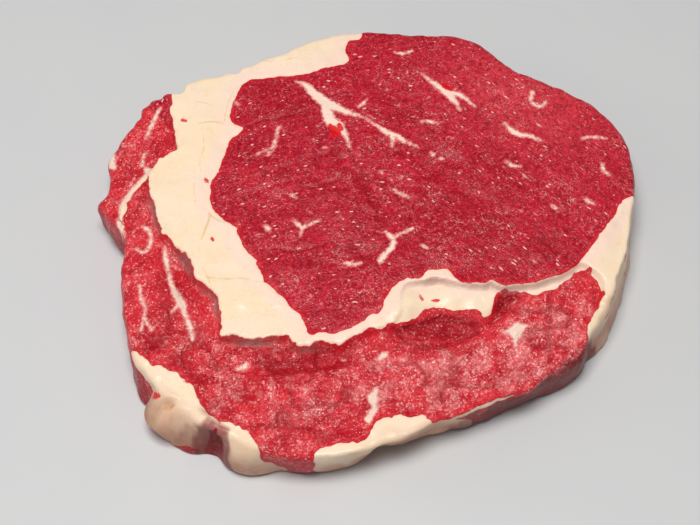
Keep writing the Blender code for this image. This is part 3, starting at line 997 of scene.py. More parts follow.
# Each wall point looks up its meat in plan, never further in than the points above it.
wall_reach = np.maximum.accumulate(np.hypot(wall_x, wall_y - CENTRE_Y), axis=0).ravel()
drift = WALL_DRIFT * rough(*wall_unrolled(wall_bearing, down), 5.0, 31) * smooth_step(down, 4.0)
wall_angle = np.radians(wall_bearing) + drift
sample_x = wall_reach * np.cos(wall_angle)
sample_y = wall_reach * np.sin(wall_angle) + CENTRE_Y
wall = survey(sample_x, sample_y)
under = survey(under_x, under_y)
fray = WALL_FRAY * rough(*wall_unrolled(wall_bearing, down), 2.2, 32)
wall_meat = np.maximum(np.maximum(wall.eye, wall.cap), wall.far)
for _, *corners in WALL_MEAT:
    wall_meat = np.maximum(wall_meat, depth_in_wall_loop(wall_bearing, down, corners) + fray)
for _, *corners in WALL_FAT:
    wall_meat = np.minimum(wall_meat, -depth_in_wall_loop(wall_bearing, down, corners) - fray)
wall_meat = np.minimum(wall_meat, -inside_wall_threads(wall_bearing, down, WALL_LINES))
wall_film_and_shade = np.zeros_like(down)
for _, strength, *corners in WALL_FILMS_AND_SHADE:
    inside = depth_in_wall_loop(wall_bearing, down, corners) + FILM_FRAY * fray
    wall_film_and_shade = np.maximum(wall_film_and_shade, strength * smooth_step(inside, FILM_SOFTNESS))
print(f"share of the wall that is meat: {(wall_meat > 0).mean():.2f}")

# %% [markdown]
# ## Bloom, shade and grey film
#
# The cap is pinker where its fat is finest, and its grains and painted glints crowd there. The far shoulder
# of the eye is paler, a painted sheen, and the cap is darker in its hollows, under the kernel and in the
# crevice beside it, a painted shade. On the slope of the step at the foot of the seam fat lies grey, partly
# scraps of membrane and partly painted shade. None of these has an edge of its own, so each is a bell that
# adds or takes away, and their sum is kept between -1 and 1.

# %% Pale and dark parts of the meat, painted sheen and shade among them, and grey film and shade on the cut face
PINK_SHEEN_AND_SHADE_PLACES = (
    # what it is, x, y, half-length, half-width, turn in degrees, strength (below 0 is darker; in the hollows
    # that is painted shade)
    ("bloom of the cap, middle", 16.0, -43.0, 26.0, 8.0, 8.0, 1.0),
    ("bloom of the cap, right end", 52.0, -33.0, 16.0, 12.0, 30.0, 1.5),
    # painted shade on the floor of the valley
    ("floor of the cap's valley", -22.0, -40.5, 16.0, 2.6, 6.0, -1.0),
    ("bloom of the cap, left", -44.0, -46.0, 12.0, 8.0, -30.0, 0.7),
    ("below the cap's ridge", -20.0, -54.0, 16.0, 8.0, 0.0, 0.5),
    ("beside the front edge", 26.0, -50.0, 14.0, 7.0, 20.0, 0.7),
    # painted shade under the kernel's overhang
    ("pocket under the kernel", 23.0, -29.6, 14.0, 4.4, 4.0, -1.6),
    # painted shade in the crevice
    ("crevice beside the kernel", 42.0, -20.0, 5.0, 3.0, 30.0, -1.4),
    # paler: a painted sheen on the eye's far shoulder
    ("far shoulder of the eye", 50.0, 56.0, 34.0, 20.0, -35.0, 0.9),
    ("spot by the front edge", 28.6, -51.3, 2.2, 1.8, 0.0, -1.2),
    ("left end of the cap", -60.0, -20.0, 8.0, 16.0, 12.0, -0.5),
)
# Grey lies on the slope of the step, from its edge down, near these places: partly film and partly painted
# shade on the slope.
GREY_FILM_AND_SHADE_PLACES = (
    ("beside the far muscle", -68.0, 12.0, 6.0, 4.0, -70.0, 1.0),
    ("seam fat, upper", -56.5, -5.5, 6.0, 4.0, -50.0, 1.0),
    ("seam fat, lower", -49.0, -21.0, 6.0, 5.0, -60.0, 0.9),
    ("lower end of the seam fat", -36.0, -34.5, 7.0, 4.0, 0.0, 1.0),
    ("narrow of the seam", -19.0, -37.5, 5.0, 3.0, 0.0, 0.7),
    ("above the kernel", 18.0, -11.0, 8.0, 4.5, 0.0, 0.8),
    ("along the right of the seam", 44.0, -14.0, 22.0, 5.0, 4.0, 0.7),
)
FILM_EDGE = 0.4
FILM_END = 1.3
FILM_END_RUN = 0.9
# The dark valley beside the lump starts on the cut face.
DARK_FILMS = (("top of the dark valley", -50.6, -58.4, 3.4, 2.6, 50.0, 1.0),)


def sum_of_bells(x, y, places):
    """Sum over the places of strength times a tilted bell, kept between -1 and 1."""
    total = sum(strength * tilted_bell(x, y, *place) for _, *place, strength in places)
    return np.clip(total, -1.0, 1.0)


face_pink_sheen_shade = sum_of_bells(face_x, face_y, PINK_SHEEN_AND_SHADE_PLACES)
past_end = smooth_step(face.low - FILM_END, FILM_END_RUN)
on_step = smooth_step(face.low + 0.1, FILM_EDGE) * (1.0 - past_end)
face_grey_and_shade = on_step * sum_of_bells(face_x, face_y, GREY_FILM_AND_SHADE_PLACES)
face_dark = sum_of_bells(face_x, face_y, DARK_FILMS)
print("points under grey film:", int((face_grey_and_shade > 0.3).sum()))

# %% [markdown]
# ## What the skin remembers
#
# Every distance, share and grain coordinate is kept on the mesh as one float per point,
# and the finish reads it by name. Colours painted on the points would be simpler, but
# with 0.7 mm between points they would blur every edge.

# %% Store everything on the skin
# Veins and the white edge beside the eye give out with depth: mm lost for each mm down the wall.
THREAD_LOSS = 0.4
EYE_LOSS = 0.3
# What is drawn in plan is on the face and on the lump, not on the wall below this height.
LOWEST_MARK = 8.0
MARK_LOSS = 2.0
UNDERSIDE_PINK = 0.3
# The wall's fat turns tan and darker towards the foot: partly its own tan, partly painted shade.
WALL_TAN_AND_SHADE = 0.85
TAN_START = 2.0
TAN_RUN = 12.0


def spread_over_skin(of_face, of_wall, of_under):
    """One value per point of the skin, in the order the points were made."""
    parts = (of_face, of_wall, of_under)
    sizes = (face_x.size, wall_x.size, under_x.size)
    return np.concatenate([np.broadcast_to(p, n) for p, n in zip(parts, sizes)]).astype(np.float32)


def store(mesh, name, values):
    """Keeps one float per vertex on the mesh under this name."""
    attribute = mesh.attributes.new(name, "FLOAT", "POINT")
    attribute.data.foreach_set("value", values)


wall_threads = inside_threads(sample_x, sample_y, THREADS) - THREAD_LOSS * down
face_meat = np.maximum(np.maximum(face.eye, face.cap), face.far)
under_meat = np.maximum(np.maximum(under.eye, under.cap), under.far)
store(skin, "meat_depth", spread_over_skin(face_meat, wall_meat, under_meat))
store(skin, "cap_lead", spread_over_skin(face.cap - face.eye, wall.cap - wall.eye, under.cap - under.eye))
store(skin, "eye_depth", spread_over_skin(face.eye, wall.eye - EYE_LOSS * down, under.eye))
store(skin, "thread_depth", spread_over_skin(face_threads, wall_threads, FAR_OUTSIDE))
below = MARK_LOSS * np.maximum(LOWEST_MARK - points[:, 2], 0.0)
wall_blood = inside_wall_threads(wall_bearing, down, WALL_BLOOD)
side_blood = spread_over_skin(FAR_OUTSIDE, wall_blood, FAR_OUTSIDE)
store(skin, "blood_depth", np.maximum(skin_blood - below, side_blood))
# Cracks and the painted shadow in the lump's hole.
store(skin, "crack_and_shadow_depth", skin_cracks_and_shadow - below)
store(skin, "crease", spread_over_skin(crease_share(face_x, face_y, face), 0.0, 0.0))
# The stored pink holds the cap's bloom, the painted sheen on the eye's far shoulder and, below 0, painted
# shade in the cap's hollows.
wall_pink_sheen_shade = sum_of_bells(sample_x, sample_y, PINK_SHEEN_AND_SHADE_PLACES)
store(skin, "pink", spread_over_skin(face_pink_sheen_shade, wall_pink_sheen_shade, UNDERSIDE_PINK))
# Grey on the step: partly film, partly painted shade.
store(skin, "grey_film_and_shade", spread_over_skin(face_grey_and_shade, 0.0, 0.0))
# Dark film on the wall, with painted shade beside the lump and at the lower right.
store(skin, "dark_film_and_shade", spread_over_skin(face_dark, wall_film_and_shade, 0.0))
wall_tan_and_shade = WALL_TAN_AND_SHADE * smooth_step(down - TAN_START, TAN_RUN)
wall_tan_and_shade += bumps_round(wall_bearing, TAN_AND_SHADE_SIDES) * smooth_step(down + 1.5, 4.0)
# Tan and painted shade on the wall.
store(skin, "tan", spread_over_skin(0.0, np.clip(wall_tan_and_shade, 0.0, 1.0), 1.0))
grains = [
    grain_at(x, y, ground)
    for x, y, ground in (
        (face_x, face_y, face),
        (sample_x, sample_y, wall),
        (under_x, under_y, under),
    )
]
store(skin, "along", spread_over_skin(*(g[0] for g in grains)))
store(skin, "across", spread_over_skin(*(g[1] for g in grains)))
print("attributes:", [a.name for a in skin.attributes if a.domain == "POINT"])

# %% [markdown]
# ## Finish
#
# One Principled surface covers the whole skin, and its colour is built up in layers: meat,
# then fat beside it, then veins, membranes and blood over both. Noise is measured in
# millimetres, in plan or along the grain, and it frays every stored distance before that is
# cut off at zero. Image textures could hold the same marks, but a procedure stays sharp at
# any size and needs nothing beside this file.

# %% Small helpers that add and join nodes


def add_node(tree, kind, inputs=None, **settings):
    """Adds a node, sets its properties, and fills its inputs with values or other sockets."""
    made = tree.nodes.new(kind)
    for key, value in settings.items():
        setattr(made, key, value)
    for key, value in (inputs or {}).items():
        if isinstance(value, bpy.types.NodeSocket):
            tree.links.new(value, made.inputs[key])
        else:
            made.inputs[key].default_value = value
    return made


def calculate(tree, operation, first, second=0.0, third=0.0):
    """One step of arithmetic."""
    inputs = {0: first, 1: second, 2: third}
    return add_node(tree, "ShaderNodeMath", inputs, operation=operation).outputs[0]


def rise(tree, value, start, end, low=0.0, high=1.0):
    """Smooth rise from low to high while the value goes from start to end."""
    inputs = {"Value": value, "From Min": start, "From Max": end, "To Min": low, "To Max": high}
    made = add_node(tree, "ShaderNodeMapRange", inputs, interpolation_type="SMOOTHSTEP")
    return made.outputs["Result"]


def blend_colour(tree, share, under, over, mode="MIX"):
    """Lays one colour over another by a share from 0 to 1."""
    made = add_node(tree, "ShaderNodeMix", data_type="RGBA", blend_type=mode, clamp_factor=True)
    for socket, value in ((0, share), (6, under), (7, over)):
        if isinstance(value, bpy.types.NodeSocket):
            tree.links.new(value, made.inputs[socket])
        else:
            made.inputs[socket].default_value = value
    return made.outputs[2]


def blend_value(tree, share, under, over):
    """Goes from one number to another by a share from 0 to 1."""
    inputs = {0: share, 2: under, 3: over}
    return add_node(tree, "ShaderNodeMix", inputs, data_type="FLOAT").outputs[0]


def noise_of(tree, place, size, detail=2.0, roughness=0.5, distortion=0.0):
    """Noise from about 0 to 1 whose marks are this many mm across, for places given in mm."""
    inputs = {
        "Vector": place, "Scale": 1.0 / size, "Detail": detail,
        "Roughness": roughness, "Distortion": distortion,
    }
    return add_node(tree, "ShaderNodeTexNoise", inputs).outputs["Fac"]


def cells_of(tree, place, size, feature="F1"):
    """Voronoi cells about this many mm across."""
    inputs = {"Vector": place, "Scale": 1.0 / size}
    return add_node(tree, "ShaderNodeTexVoronoi", inputs, feature=feature)


def channel(tree, colour, number):
    """One of a colour's three channels."""
    return add_node(tree, "ShaderNodeSeparateColor", {"Color": colour}).outputs[number]


def specks(tree, place, size, least, most, keep):
    """Dots of uneven size, one at most in each cell; keep is the share of cells that have one."""
    cells = cells_of(tree, place, size)
    pick = channel(tree, cells.outputs["Color"], 1)
    radius = rise(tree, pick, 1.0 - keep, 1.0, least, most)
    gap = calculate(tree, "SUBTRACT", cells.outputs["Distance"], radius)
    return rise(tree, gap, 0.06, -0.06)


def moved(tree, operation, first, second=(0.0, 0.0, 0.0), scale=1.0):
    """One step of vector arithmetic."""
    inputs = {0: first, 1: second, 3: scale}
    return add_node(tree, "ShaderNodeVectorMath", inputs, operation=operation).outputs[0]


def stored(tree, name):
    """Reads a float that the skin keeps under this name."""
    made = add_node(tree, "ShaderNodeAttribute", attribute_name=name, attribute_type="GEOMETRY")
    return made.outputs["Fac"]


finish = bpy.data.materials.new("raw_beef")
finish.use_nodes = True
tree = finish.node_tree
print("a new finish starts with", [node.name for node in tree.nodes])

# %% Where a point is, and how deep it lies in what
# How far noise pushes the marks about, in mm, in plan and across the grain.
PLAN_PUSH = 3.2
GRAIN_PUSH = 0.8
# Distances along the grain are shrunk by this, so that a mark is drawn out lengthwise.
GRAIN_SHRINK = 0.4


def places_on(tree):
    """Where a point is, in mm: as it stands, pushed about by noise, and in the grain's coordinates."""
    here = add_node(tree, "ShaderNodeTexCoord").outputs["Object"]
    plan = moved(tree, "SCALE", here, scale=1.0 / MM)
    push = add_node(tree, "ShaderNodeTexNoise", {"Vector": plan, "Scale": 0.5, "Detail": 2.0})
    push = moved(tree, "ADD", push.outputs["Color"], (-0.5, -0.5, -0.5))
    frayed = moved(tree, "ADD", plan, moved(tree, "SCALE", push, scale=PLAN_PUSH))
    along = calculate(tree, "MULTIPLY", stored(tree, "along"), GRAIN_SHRINK)
    upright = add_node(tree, "ShaderNodeSeparateXYZ", {0: plan}).outputs["Z"]
    inputs = {0: along, 1: stored(tree, "across"), 2: upright}
    grain = add_node(tree, "ShaderNodeCombineXYZ", inputs).outputs[0]
    grain = moved(tree, "ADD", grain, moved(tree, "SCALE", push, scale=GRAIN_PUSH))
    return SimpleNamespace(plan=plan, frayed=frayed, grain=grain)


def depths_on(tree, places):
    """The stored distances, frayed by noise."""
    ragged = noise_of(tree, places.plan, 1.3, 3.0, 0.65)
    ragged = calculate(tree, "MULTIPLY_ADD", ragged, 2.0, -1.0)
    meat = calculate(tree, "MULTIPLY_ADD", ragged, 0.3, stored(tree, "meat_depth"))
    return SimpleNamespace(
        meat=meat,
        eye=stored(tree, "eye_depth"),
        thread=calculate(tree, "MULTIPLY_ADD", ragged, 1.1, stored(tree, "thread_depth")),
        blood=calculate(tree, "MULTIPLY_ADD", ragged, 0.8, stored(tree, "blood_depth")),
        crack_and_shadow=calculate(tree, "MULTIPLY_ADD", ragged, 0.15, stored(tree, "crack_and_shadow_depth")),
        in_cap=rise(tree, stored(tree, "cap_lead"), -0.6, 0.6),
        in_meat=rise(tree, meat, -0.1, 0.1),
        pink=stored(tree, "pink"),
        crease=stored(tree, "crease"),
        grey_film_and_shade=stored(tree, "grey_film_and_shade"),
        dark_film_and_shade=stored(tree, "dark_film_and_shade"),
        tan=stored(tree, "tan"),
    )


places = places_on(tree)
depths = depths_on(tree, places)
print("nodes that say where a point is:", len(tree.nodes))

# %% [markdown]
# ## Meat
#
# The eye is fine in grain and an even crimson: its bundles differ a little in tone, and short pale threads
# and dots lie between them, the dots partly fat and partly painted glints. The cap is coarser and has fat
# mixed all through, so it is deep red with pink grains that crowd together in clouds; the grains are partly
# fat and partly painted sparkle, and pale dots over them are painted glints. Creases and the cap's hollows
# are darkened with painted shade. Cells give the bundles and the dots, and noise gives everything that has
# no edge.

# %% Paints of the meat, linear
EYE_DARK = (0.24, 0.002, 0.010, 1.0)
EYE_DEEP = (0.42, 0.005, 0.021, 1.0)
EYE_RED = (0.52, 0.009, 0.028, 1.0)
EYE_BRIGHT = (0.70, 0.045, 0.065, 1.0)
CAP_DARK = (0.30, 0.002, 0.008, 1.0)
CAP_DEEP = (0.54, 0.009, 0.021, 1.0)
CAP_RED = (0.73, 0.026, 0.042, 1.0)
# The cap's pink also paints sparkle, the fleck paint serves fat flecks and painted glints, and the glint
# paint is a painted highlight.
CAP_PINK_AND_SPARKLE = (0.92, 0.35, 0.345, 1.0)
SPECK_PINK = (0.92, 0.40, 0.40, 1.0)
FLECK_AND_GLINT = (0.95, 0.60, 0.54, 1.0)
GLINT = (1.0, 0.68, 0.62, 1.0)
# Width in mm of a bundle of fibres in the eye.
BUNDLE_SIZE = 2.3


def eye_colour(tree, places, pink_sheen_shade):
    """Crimson, a little darker from bundle to bundle, with dots and short pale lines between the bundles.
    The dots are partly fat and partly painted glints, and the eye is paler where a sheen is painted.
    """
    mottle = rise(tree, noise_of(tree, places.plan, 15.0, 3.0), 0.35, 0.65)
    eye = blend_colour(tree, mottle, EYE_DEEP, EYE_RED)
    # Paler where the sheen of the eye's far shoulder is painted.
    eye = blend_colour(tree, pink_sheen_shade, eye, EYE_BRIGHT)
    bundle = cells_of(tree, places.frayed, BUNDLE_SIZE)
    shade = channel(tree, bundle.outputs["Color"], 0)
    eye = blend_colour(tree, rise(tree, shade, 0.0, 1.0, 0.0, 0.3), eye, EYE_DARK)
    grit = noise_of(tree, places.frayed, 1.1, 3.0, 0.65)
    eye = blend_colour(tree, rise(tree, grit, 0.50, 0.34, 0.0, 0.75), eye, EYE_DARK)
    eye = blend_colour(tree, rise(tree, grit, 0.50, 0.66, 0.0, 0.7), eye, EYE_BRIGHT)
    edge = cells_of(tree, places.frayed, BUNDLE_SIZE, "DISTANCE_TO_EDGE").outputs["Distance"]
    patch = rise(tree, noise_of(tree, places.plan, 6.0, 2.0), 0.38, 0.62, -0.04, 0.03)
    lift = calculate(tree, "ADD", patch, rise(tree, edge, 0.18, 0.0, 0.0, 0.09))
    fine = calculate(tree, "ADD", noise_of(tree, places.plan, 0.5, 2.0, 0.6), lift)
    eye = blend_colour(tree, rise(tree, fine, 0.66, 0.76, 0.0, 0.5), eye, SPECK_PINK)
    strand = calculate(tree, "ADD", noise_of(tree, places.grain, 0.8, 2.0, 0.6), lift)
    eye = blend_colour(tree, rise(tree, strand, 0.68, 0.80, 0.0, 0.45), eye, SPECK_PINK)
    # Dots: partly fat, partly painted glints.
    dots = specks(tree, places.grain, 1.3, 0.06, 0.2, 0.42)
    return blend_colour(tree, calculate(tree, "MULTIPLY", dots, 0.85), eye, FLECK_AND_GLINT)


def cap_colour(tree, places, pink_sheen_shade):
    """Deep red, darkened by painted shade in the hollows, with pink grains, partly fat and partly painted
    sparkle, that crowd together in clouds and thin out in the dark hollows, and painted glints over them.
    """
    broad = rise(tree, noise_of(tree, places.plan, 7.0, 4.0, 0.6), 0.36, 0.62)
    cap = blend_colour(tree, broad, CAP_DEEP, CAP_RED)
    # Painted shade: the cap is darkened where the stored pink is below 0, in its hollows.
    cap = blend_colour(tree, rise(tree, pink_sheen_shade, 0.0, -1.0, 0.0, 0.6), cap, CAP_DARK)
    cloud = noise_of(tree, places.frayed, 5.0, 4.0, 0.65)
    cloud = calculate(tree, "MULTIPLY_ADD", pink_sheen_shade, 0.14, cloud)
    crowd = rise(tree, cloud, 0.40, 0.76, 0.0, 0.12)
    cap = blend_colour(tree, rise(tree, cloud, 0.5, 0.8, 0.0, 0.3), cap, CAP_PINK_AND_SPARKLE)
    grains = noise_of(tree, places.frayed, 0.85, 3.0, 0.65, 0.5)
    grains = calculate(tree, "ADD", grains, crowd)
    # The pink grains are partly fine fat and partly painted sparkle.
    cap = blend_colour(tree, rise(tree, grains, 0.57, 0.72, 0.0, 0.85), cap, CAP_PINK_AND_SPARKLE)
    cap = blend_colour(tree, rise(tree, grains, 0.50, 0.36, 0.0, 0.6), cap, CAP_DARK)
    # Painted glints, crowded where the cap is pinker.
    dots = specks(tree, places.plan, 0.95, 0.06, 0.28, 0.6)
    dots = calculate(tree, "MULTIPLY", dots, rise(tree, crowd, 0.0, 0.12, 0.45, 0.95))
    return blend_colour(tree, dots, cap, GLINT)


def meat_colour(tree, places, depths):
    """Eye or cap, both with hair-thin fat here and there, a few larger flecks, and painted shade in the
    creases.
    """
    eye = eye_colour(tree, places, depths.pink)
    cap = cap_colour(tree, places, depths.pink)
    meat = blend_colour(tree, depths.in_cap, eye, cap)
    # Painted shade: the creases are darkened.
    meat = blend_colour(tree, calculate(tree, "MULTIPLY", depths.crease, 0.6), meat, CAP_DARK)
    hair = calculate(tree, "SUBTRACT", noise_of(tree, places.frayed, 4.6, 3.0, 0.6), 0.5)
    hair = rise(tree, calculate(tree, "ABSOLUTE", hair), 0.010, 0.0, 0.0, 0.5)
    where = rise(tree, noise_of(tree, places.plan, 13.0, 1.0), 0.5, 0.66)
    meat = blend_colour(tree, calculate(tree, "MULTIPLY", hair, where), meat, FLECK_AND_GLINT)
    flecks = specks(tree, places.grain, 5.0, 0.0, 0.12, 0.3)
    return blend_colour(tree, calculate(tree, "MULTIPLY", flecks, 0.7), meat, FLECK_AND_GLINT)


meat = meat_colour(tree, places, depths)
print("nodes with the meat:", len(tree.nodes))

# %% [markdown]
# ## Fat
#
# Beef fat is cream, clouded with a paler cream, and whiter in the strip beside the eye. It takes a little
# pink from the meat it touches, turns tan and darker on the wall, partly where it has dried against its
# wrapping and partly as painted shade, and splits in hair-thin cracks, whose paint also gives a painted
# shadow in the hole of the rolled lump. All of these are thin washes, since strong ones make fat look dirty.

# %% Paints of the fat, linear
FAT_CREAM = (0.93, 0.725, 0.50, 1.0)
FAT_PALE = (0.93, 0.74, 0.56, 1.0)
FAT_WHITE = (0.94, 0.70, 0.58, 1.0)
FAT_PINK = (0.95, 0.60, 0.50, 1.0)
# The crack paint also paints the shadow in the hole of the rolled lump.
FAT_CRACK_AND_SHADOW = (0.70, 0.38, 0.16, 1.0)
# The tan paint is partly painted shade.
FAT_TAN_AND_SHADE = (0.58, 0.27, 0.17, 1.0)


def fat_colour(tree, places, depths):
    """Cream clouded with paler cream, whiter beside the eye, tan with painted shade on the wall, tan in the
    cracks and a painted shadow in the lump's hole.
    """
    cloud = rise(tree, noise_of(tree, places.plan, 9.0, 4.0, 0.6), 0.35, 0.65)
    fat = blend_colour(tree, cloud, FAT_CREAM, FAT_PALE)
    beside_eye = calculate(tree, "ADD", depths.eye, noise_of(tree, places.plan, 7.0, 3.0, 0.6))
    beside_eye = calculate(tree, "ADD", beside_eye, noise_of(tree, places.plan, 20.0, 1.0))
    fat = blend_colour(tree, rise(tree, beside_eye, -5.0, -2.0, 0.0, 0.8), fat, FAT_WHITE)
    mark = calculate(tree, "SUBTRACT", noise_of(tree, places.plan, 10.0, 4.0, 0.62), 0.5)
    mark = rise(tree, calculate(tree, "ABSOLUTE", mark), 0.010, 0.0, 0.0, 0.22)
    fat = blend_colour(tree, mark, fat, FAT_CRACK_AND_SHADOW)
    # Cracks, and the painted shadow in the lump's hole.
    fat = blend_colour(tree, rise(tree, depths.crack_and_shadow, -0.25, 0.15, 0.0, 0.8), fat, FAT_CRACK_AND_SHADOW)
    fat = blend_colour(tree, rise(tree, depths.crack_and_shadow, -1.6, 0.0, 0.0, 0.25), fat, FAT_CREAM)
    fat = blend_colour(tree, rise(tree, depths.meat, -0.9, 0.0, 0.0, 0.5), fat, FAT_PINK)
    # Tan and painted shade on the wall.
    uneven = rise(tree, noise_of(tree, places.plan, 6.0, 3.0), 0.3, 0.7, 0.7, 1.0)
    side = calculate(tree, "MULTIPLY", depths.tan, uneven)
    return blend_colour(tree, side, fat, FAT_TAN_AND_SHADE)


fat = fat_colour(tree, places, depths)
print("nodes with the fat:", len(tree.nodes))

# %% [markdown]
# ## Veins, membranes and blood
#
# Meat is redder in a narrow rim along the fat. Veins are cream with a pink halo, because the fat runs thin
# at their sides. Membranes are see-through, so their dark tint is multiplied into what lies under them; laid
# on plainly it would turn cream fat to grey. The same tint paints a shadow beside the rolled lump and part
# of the dark on the lower right side, and the grey on the step's slope is partly film and partly painted
# shade. Blood comes last, since it lies on everything else.

# %% Layers over meat and fat
EDGE_RED = (0.66, 0.010, 0.018, 1.0)
VEIN_CREAM = (0.96, 0.72, 0.60, 1.0)
VEIN_PINK = (0.86, 0.36, 0.33, 1.0)
# Multiplied into what lies under the dark film, and into the painted shade on the wall.
FILM_AND_SHADE_TINT = (0.30, 0.04, 0.07, 1.0)
FILM_SILVER = (0.34, 0.11, 0.12, 1.0)
FILM_GREY_AND_SHADE = (0.34, 0.15, 0.14, 1.0)
BLOOD_RED = (0.70, 0.0, 0.006, 1.0)


def with_veins(tree, meat, depths):
    """The meat with its red rim and its veins."""
    meat = blend_colour(tree, rise(tree, depths.meat, 1.7, 0.3, 0.0, 0.6), meat, EDGE_RED)
    meat = blend_colour(tree, rise(tree, depths.thread, -0.6, 0.2, 0.0, 0.75), meat, VEIN_PINK)
    return blend_colour(tree, rise(tree, depths.thread, 0.0, 0.6, 0.0, 0.95), meat, VEIN_CREAM)


def film_colour(tree, places, depths, under):
    """Membranes and painted shade over what is under them: a dark tint multiplied in, silver streaks, and
    grey that is partly film and partly painted shade.
    """
    patch = rise(tree, noise_of(tree, places.plan, 5.0, 3.0), 0.25, 0.55, 0.8, 1.0)
    # The dark tint is membrane and, beside the lump and at the lower right, painted shade.
    dark = calculate(tree, "MULTIPLY", depths.dark_film_and_shade, patch)
    colour = blend_colour(tree, dark, under, FILM_AND_SHADE_TINT, "MULTIPLY")
    silver = rise(tree, noise_of(tree, places.frayed, 3.4, 4.0, 0.65), 0.52, 0.72, 0.0, 0.3)
    colour = blend_colour(tree, calculate(tree, "MULTIPLY", depths.dark_film_and_shade, silver), colour, FILM_SILVER)
    # Grey on the step's slope, partly film and partly painted shade.
    grey = calculate(tree, "MULTIPLY", depths.grey_film_and_shade, 0.85)
    return blend_colour(tree, grey, colour, FILM_GREY_AND_SHADE)


colour = blend_colour(tree, depths.in_meat, fat, with_veins(tree, meat, depths))
colour = film_colour(tree, places, depths, colour)
colour = blend_colour(tree, rise(tree, depths.blood, -0.3, 0.2, 0.0, 0.95), colour, BLOOD_RED)
print("nodes with the whole colour:", len(tree.nodes))

# %% [markdown]
# ## Relief and gloss
#
# The mesh holds every lump down to about a millimetre. What is finer goes into a bump:
# cobbles on the cap, strands on the eye and shallow pores on the fat. A thin clear coat
# over the rough meat gives the wet gloss without making the whole steak look like glass,
# and a little light passes under the surface.

# %% Relief, gloss and the finished surface
FAT_ROUGHNESS = 0.5
# Height in mm of the relief where relief_height gives 1.
RELIEF = 0.6


def relief_height(tree, places, depths):
    """Height, 0 to about 1, of what is too fine for the mesh: cobbles, strands, and pores on fat."""
    cobbles = noise_of(tree, places.frayed, 1.25, 3.0, 0.62, 0.6)
    strands = noise_of(tree, places.grain, 0.9, 3.0, 0.6)
    pores = noise_of(tree, places.plan, 0.6, 2.0, 0.6)
    of_cap = calculate(tree, "MULTIPLY_ADD", cobbles, 0.9, calculate(tree, "MULTIPLY", strands, 0.25))
    of_eye = calculate(tree, "MULTIPLY_ADD", strands, 0.4, calculate(tree, "MULTIPLY", pores, 0.3))
    of_fat = calculate(tree, "MULTIPLY", noise_of(tree, places.plan, 2.2, 3.0, 0.6), 0.22)
    of_meat = blend_value(tree, depths.in_cap, of_eye, of_cap)
    return blend_value(tree, depths.in_meat, of_fat, of_meat)


shader = tree.nodes["Principled BSDF"]
tree.links.new(colour, shader.inputs["Base Color"])
wet = rise(tree, noise_of(tree, places.plan, 7.0, 3.0), 0.35, 0.65, 0.32, 0.5)
roughness = blend_value(tree, depths.in_meat, FAT_ROUGHNESS, wet)
tree.links.new(roughness, shader.inputs["Roughness"])
shader.inputs["Subsurface Weight"].default_value = 0.1
shader.inputs["Subsurface Radius"].default_value = (1.0, 0.3, 0.2)
shader.inputs["Subsurface Scale"].default_value = 0.002
shader.inputs["Specular IOR Level"].default_value = 0.1
shader.inputs["Coat Weight"].default_value = 0.24
shader.inputs["Coat Roughness"].default_value = 0.2
height = relief_height(tree, places, depths)
bump = add_node(tree, "ShaderNodeBump", {"Strength": 1.0, "Distance": RELIEF * MM, "Height": height})
tree.links.new(bump.outputs["Normal"], shader.inputs["Normal"])
tree.links.new(bump.outputs["Normal"], shader.inputs["Coat Normal"])
skin.materials.append(finish)
print("nodes in the finish:", len(tree.nodes))

# %% [markdown]
# ## Floor, light and camera
#
# The steak lies on a plain pale floor. A soft light hangs overhead, a little to the front
# and left: from behind it would mirror in the wet face and haze the crimson of the eye.
# It leaves the sides in half shade, which a weak fill from the left keeps from going
# black. The camera looks down at sixty degrees through a long lens.

# %% Floor
FLOOR_HALF = 1.5
FLOOR_COLOUR = (0.60, 0.61, 0.62, 1.0)
FLOOR_CLOUD = (0.64, 0.64, 0.64, 1.0)


def cloudy_material(name, colour, cloud_colour, roughness):
    """A floor finish of one colour, broken up a little by faint clouds of another."""
    made = bpy.data.materials.new(name)
    made.use_nodes = True
    tree = made.node_tree
    shader = tree.nodes["Principled BSDF"]
    here = add_node(tree, "ShaderNodeTexCoord").outputs["Object"]
    cloud = add_node(tree, "ShaderNodeTexNoise", {"Vector": here, "Scale": 20.0}).outputs["Fac"]
    tint = blend_colour(tree, rise(tree, cloud, 0.3, 0.7, 0.0, 0.3), colour, cloud_colour)
    tree.links.new(tint, shader.inputs["Base Color"])
    shader.inputs["Roughness"].default_value = roughness
    return made


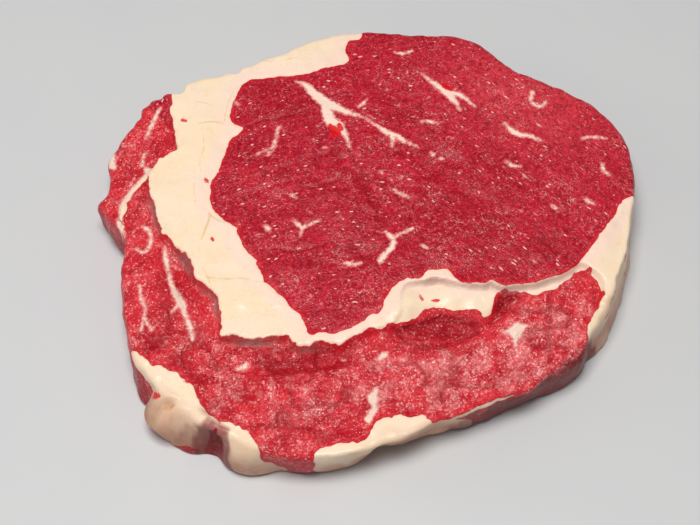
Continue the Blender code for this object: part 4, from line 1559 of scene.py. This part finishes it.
floor_mesh = bpy.data.meshes.new("floor")
signs = ((-1, -1), (1, -1), (1, 1), (-1, 1))
corners = [(x_sign * FLOOR_HALF, y_sign * FLOOR_HALF, 0.0) for x_sign, y_sign in signs]
floor_mesh.from_pydata(corners, [], [(0, 1, 2, 3)])
floor = bpy.data.objects.new("floor", floor_mesh)
floor_mesh.materials.append(cloudy_material("pale_floor", FLOOR_COLOUR, FLOOR_CLOUD, roughness=0.6))
bpy.context.scene.collection.objects.link(floor)
print("floor", 2 * FLOOR_HALF, "m across")

# %% Lights and surroundings
LIT_POINT = Vector((0.0, 0.0, 0.01))
ROOM_STRENGTH = 0.18
WHITE = (1.0, 1.0, 1.0)


def soft_light(name, place, size, watts, colour):
    """A square area light aimed at the steak's middle."""
    lamp = bpy.data.lights.new(name, "AREA")
    lamp.shape = "SQUARE"
    lamp.size = size
    lamp.energy = watts
    lamp.color = colour
    made = bpy.data.objects.new(name, lamp)
    made.location = place
    aim = LIT_POINT - Vector(place)
    made.rotation_euler = aim.to_track_quat("-Z", "Y").to_euler()
    bpy.context.scene.collection.objects.link(made)
    print(f"{name}: {watts} W, {aim.length:.2f} m away")


soft_light("overhead", place=(-0.06, -0.12, 0.88), size=0.32, watts=6.9, colour=(1.0, 0.985, 0.965))
soft_light("left_fill", place=(-0.9, 0.1, 0.35), size=0.5, watts=1.0, colour=WHITE)
world = bpy.data.worlds.new("soft_room")
world.use_nodes = True
surroundings = world.node_tree.nodes["Background"]
surroundings.inputs["Color"].default_value = (*WHITE, 1.0)
surroundings.inputs["Strength"].default_value = ROOM_STRENGTH
bpy.context.scene.world = world
bpy.context.scene.view_settings.view_transform = "Standard"

# %% Camera
ELEVATION = 60.0
LENS = 85.0
DISTANCE = 0.528
AIM = Vector(((-6.0 - middle[0]) * MM, (-1.0 - middle[1]) * MM, 11.0 * MM))
camera_data = bpy.data.cameras.new("camera")
camera_data.lens = LENS
camera_data.sensor_width = 36.0
camera_data.clip_start = 0.01
camera = bpy.data.objects.new("camera", camera_data)
up = math.radians(ELEVATION)
camera.location = AIM + DISTANCE * Vector((0.0, -math.cos(up), math.sin(up)))
camera.rotation_euler = (math.radians(90.0 - ELEVATION), 0.0, 0.0)
bpy.context.scene.collection.objects.link(camera)
bpy.context.scene.camera = camera
print("camera at, m:", [round(c, 3) for c in camera.location])
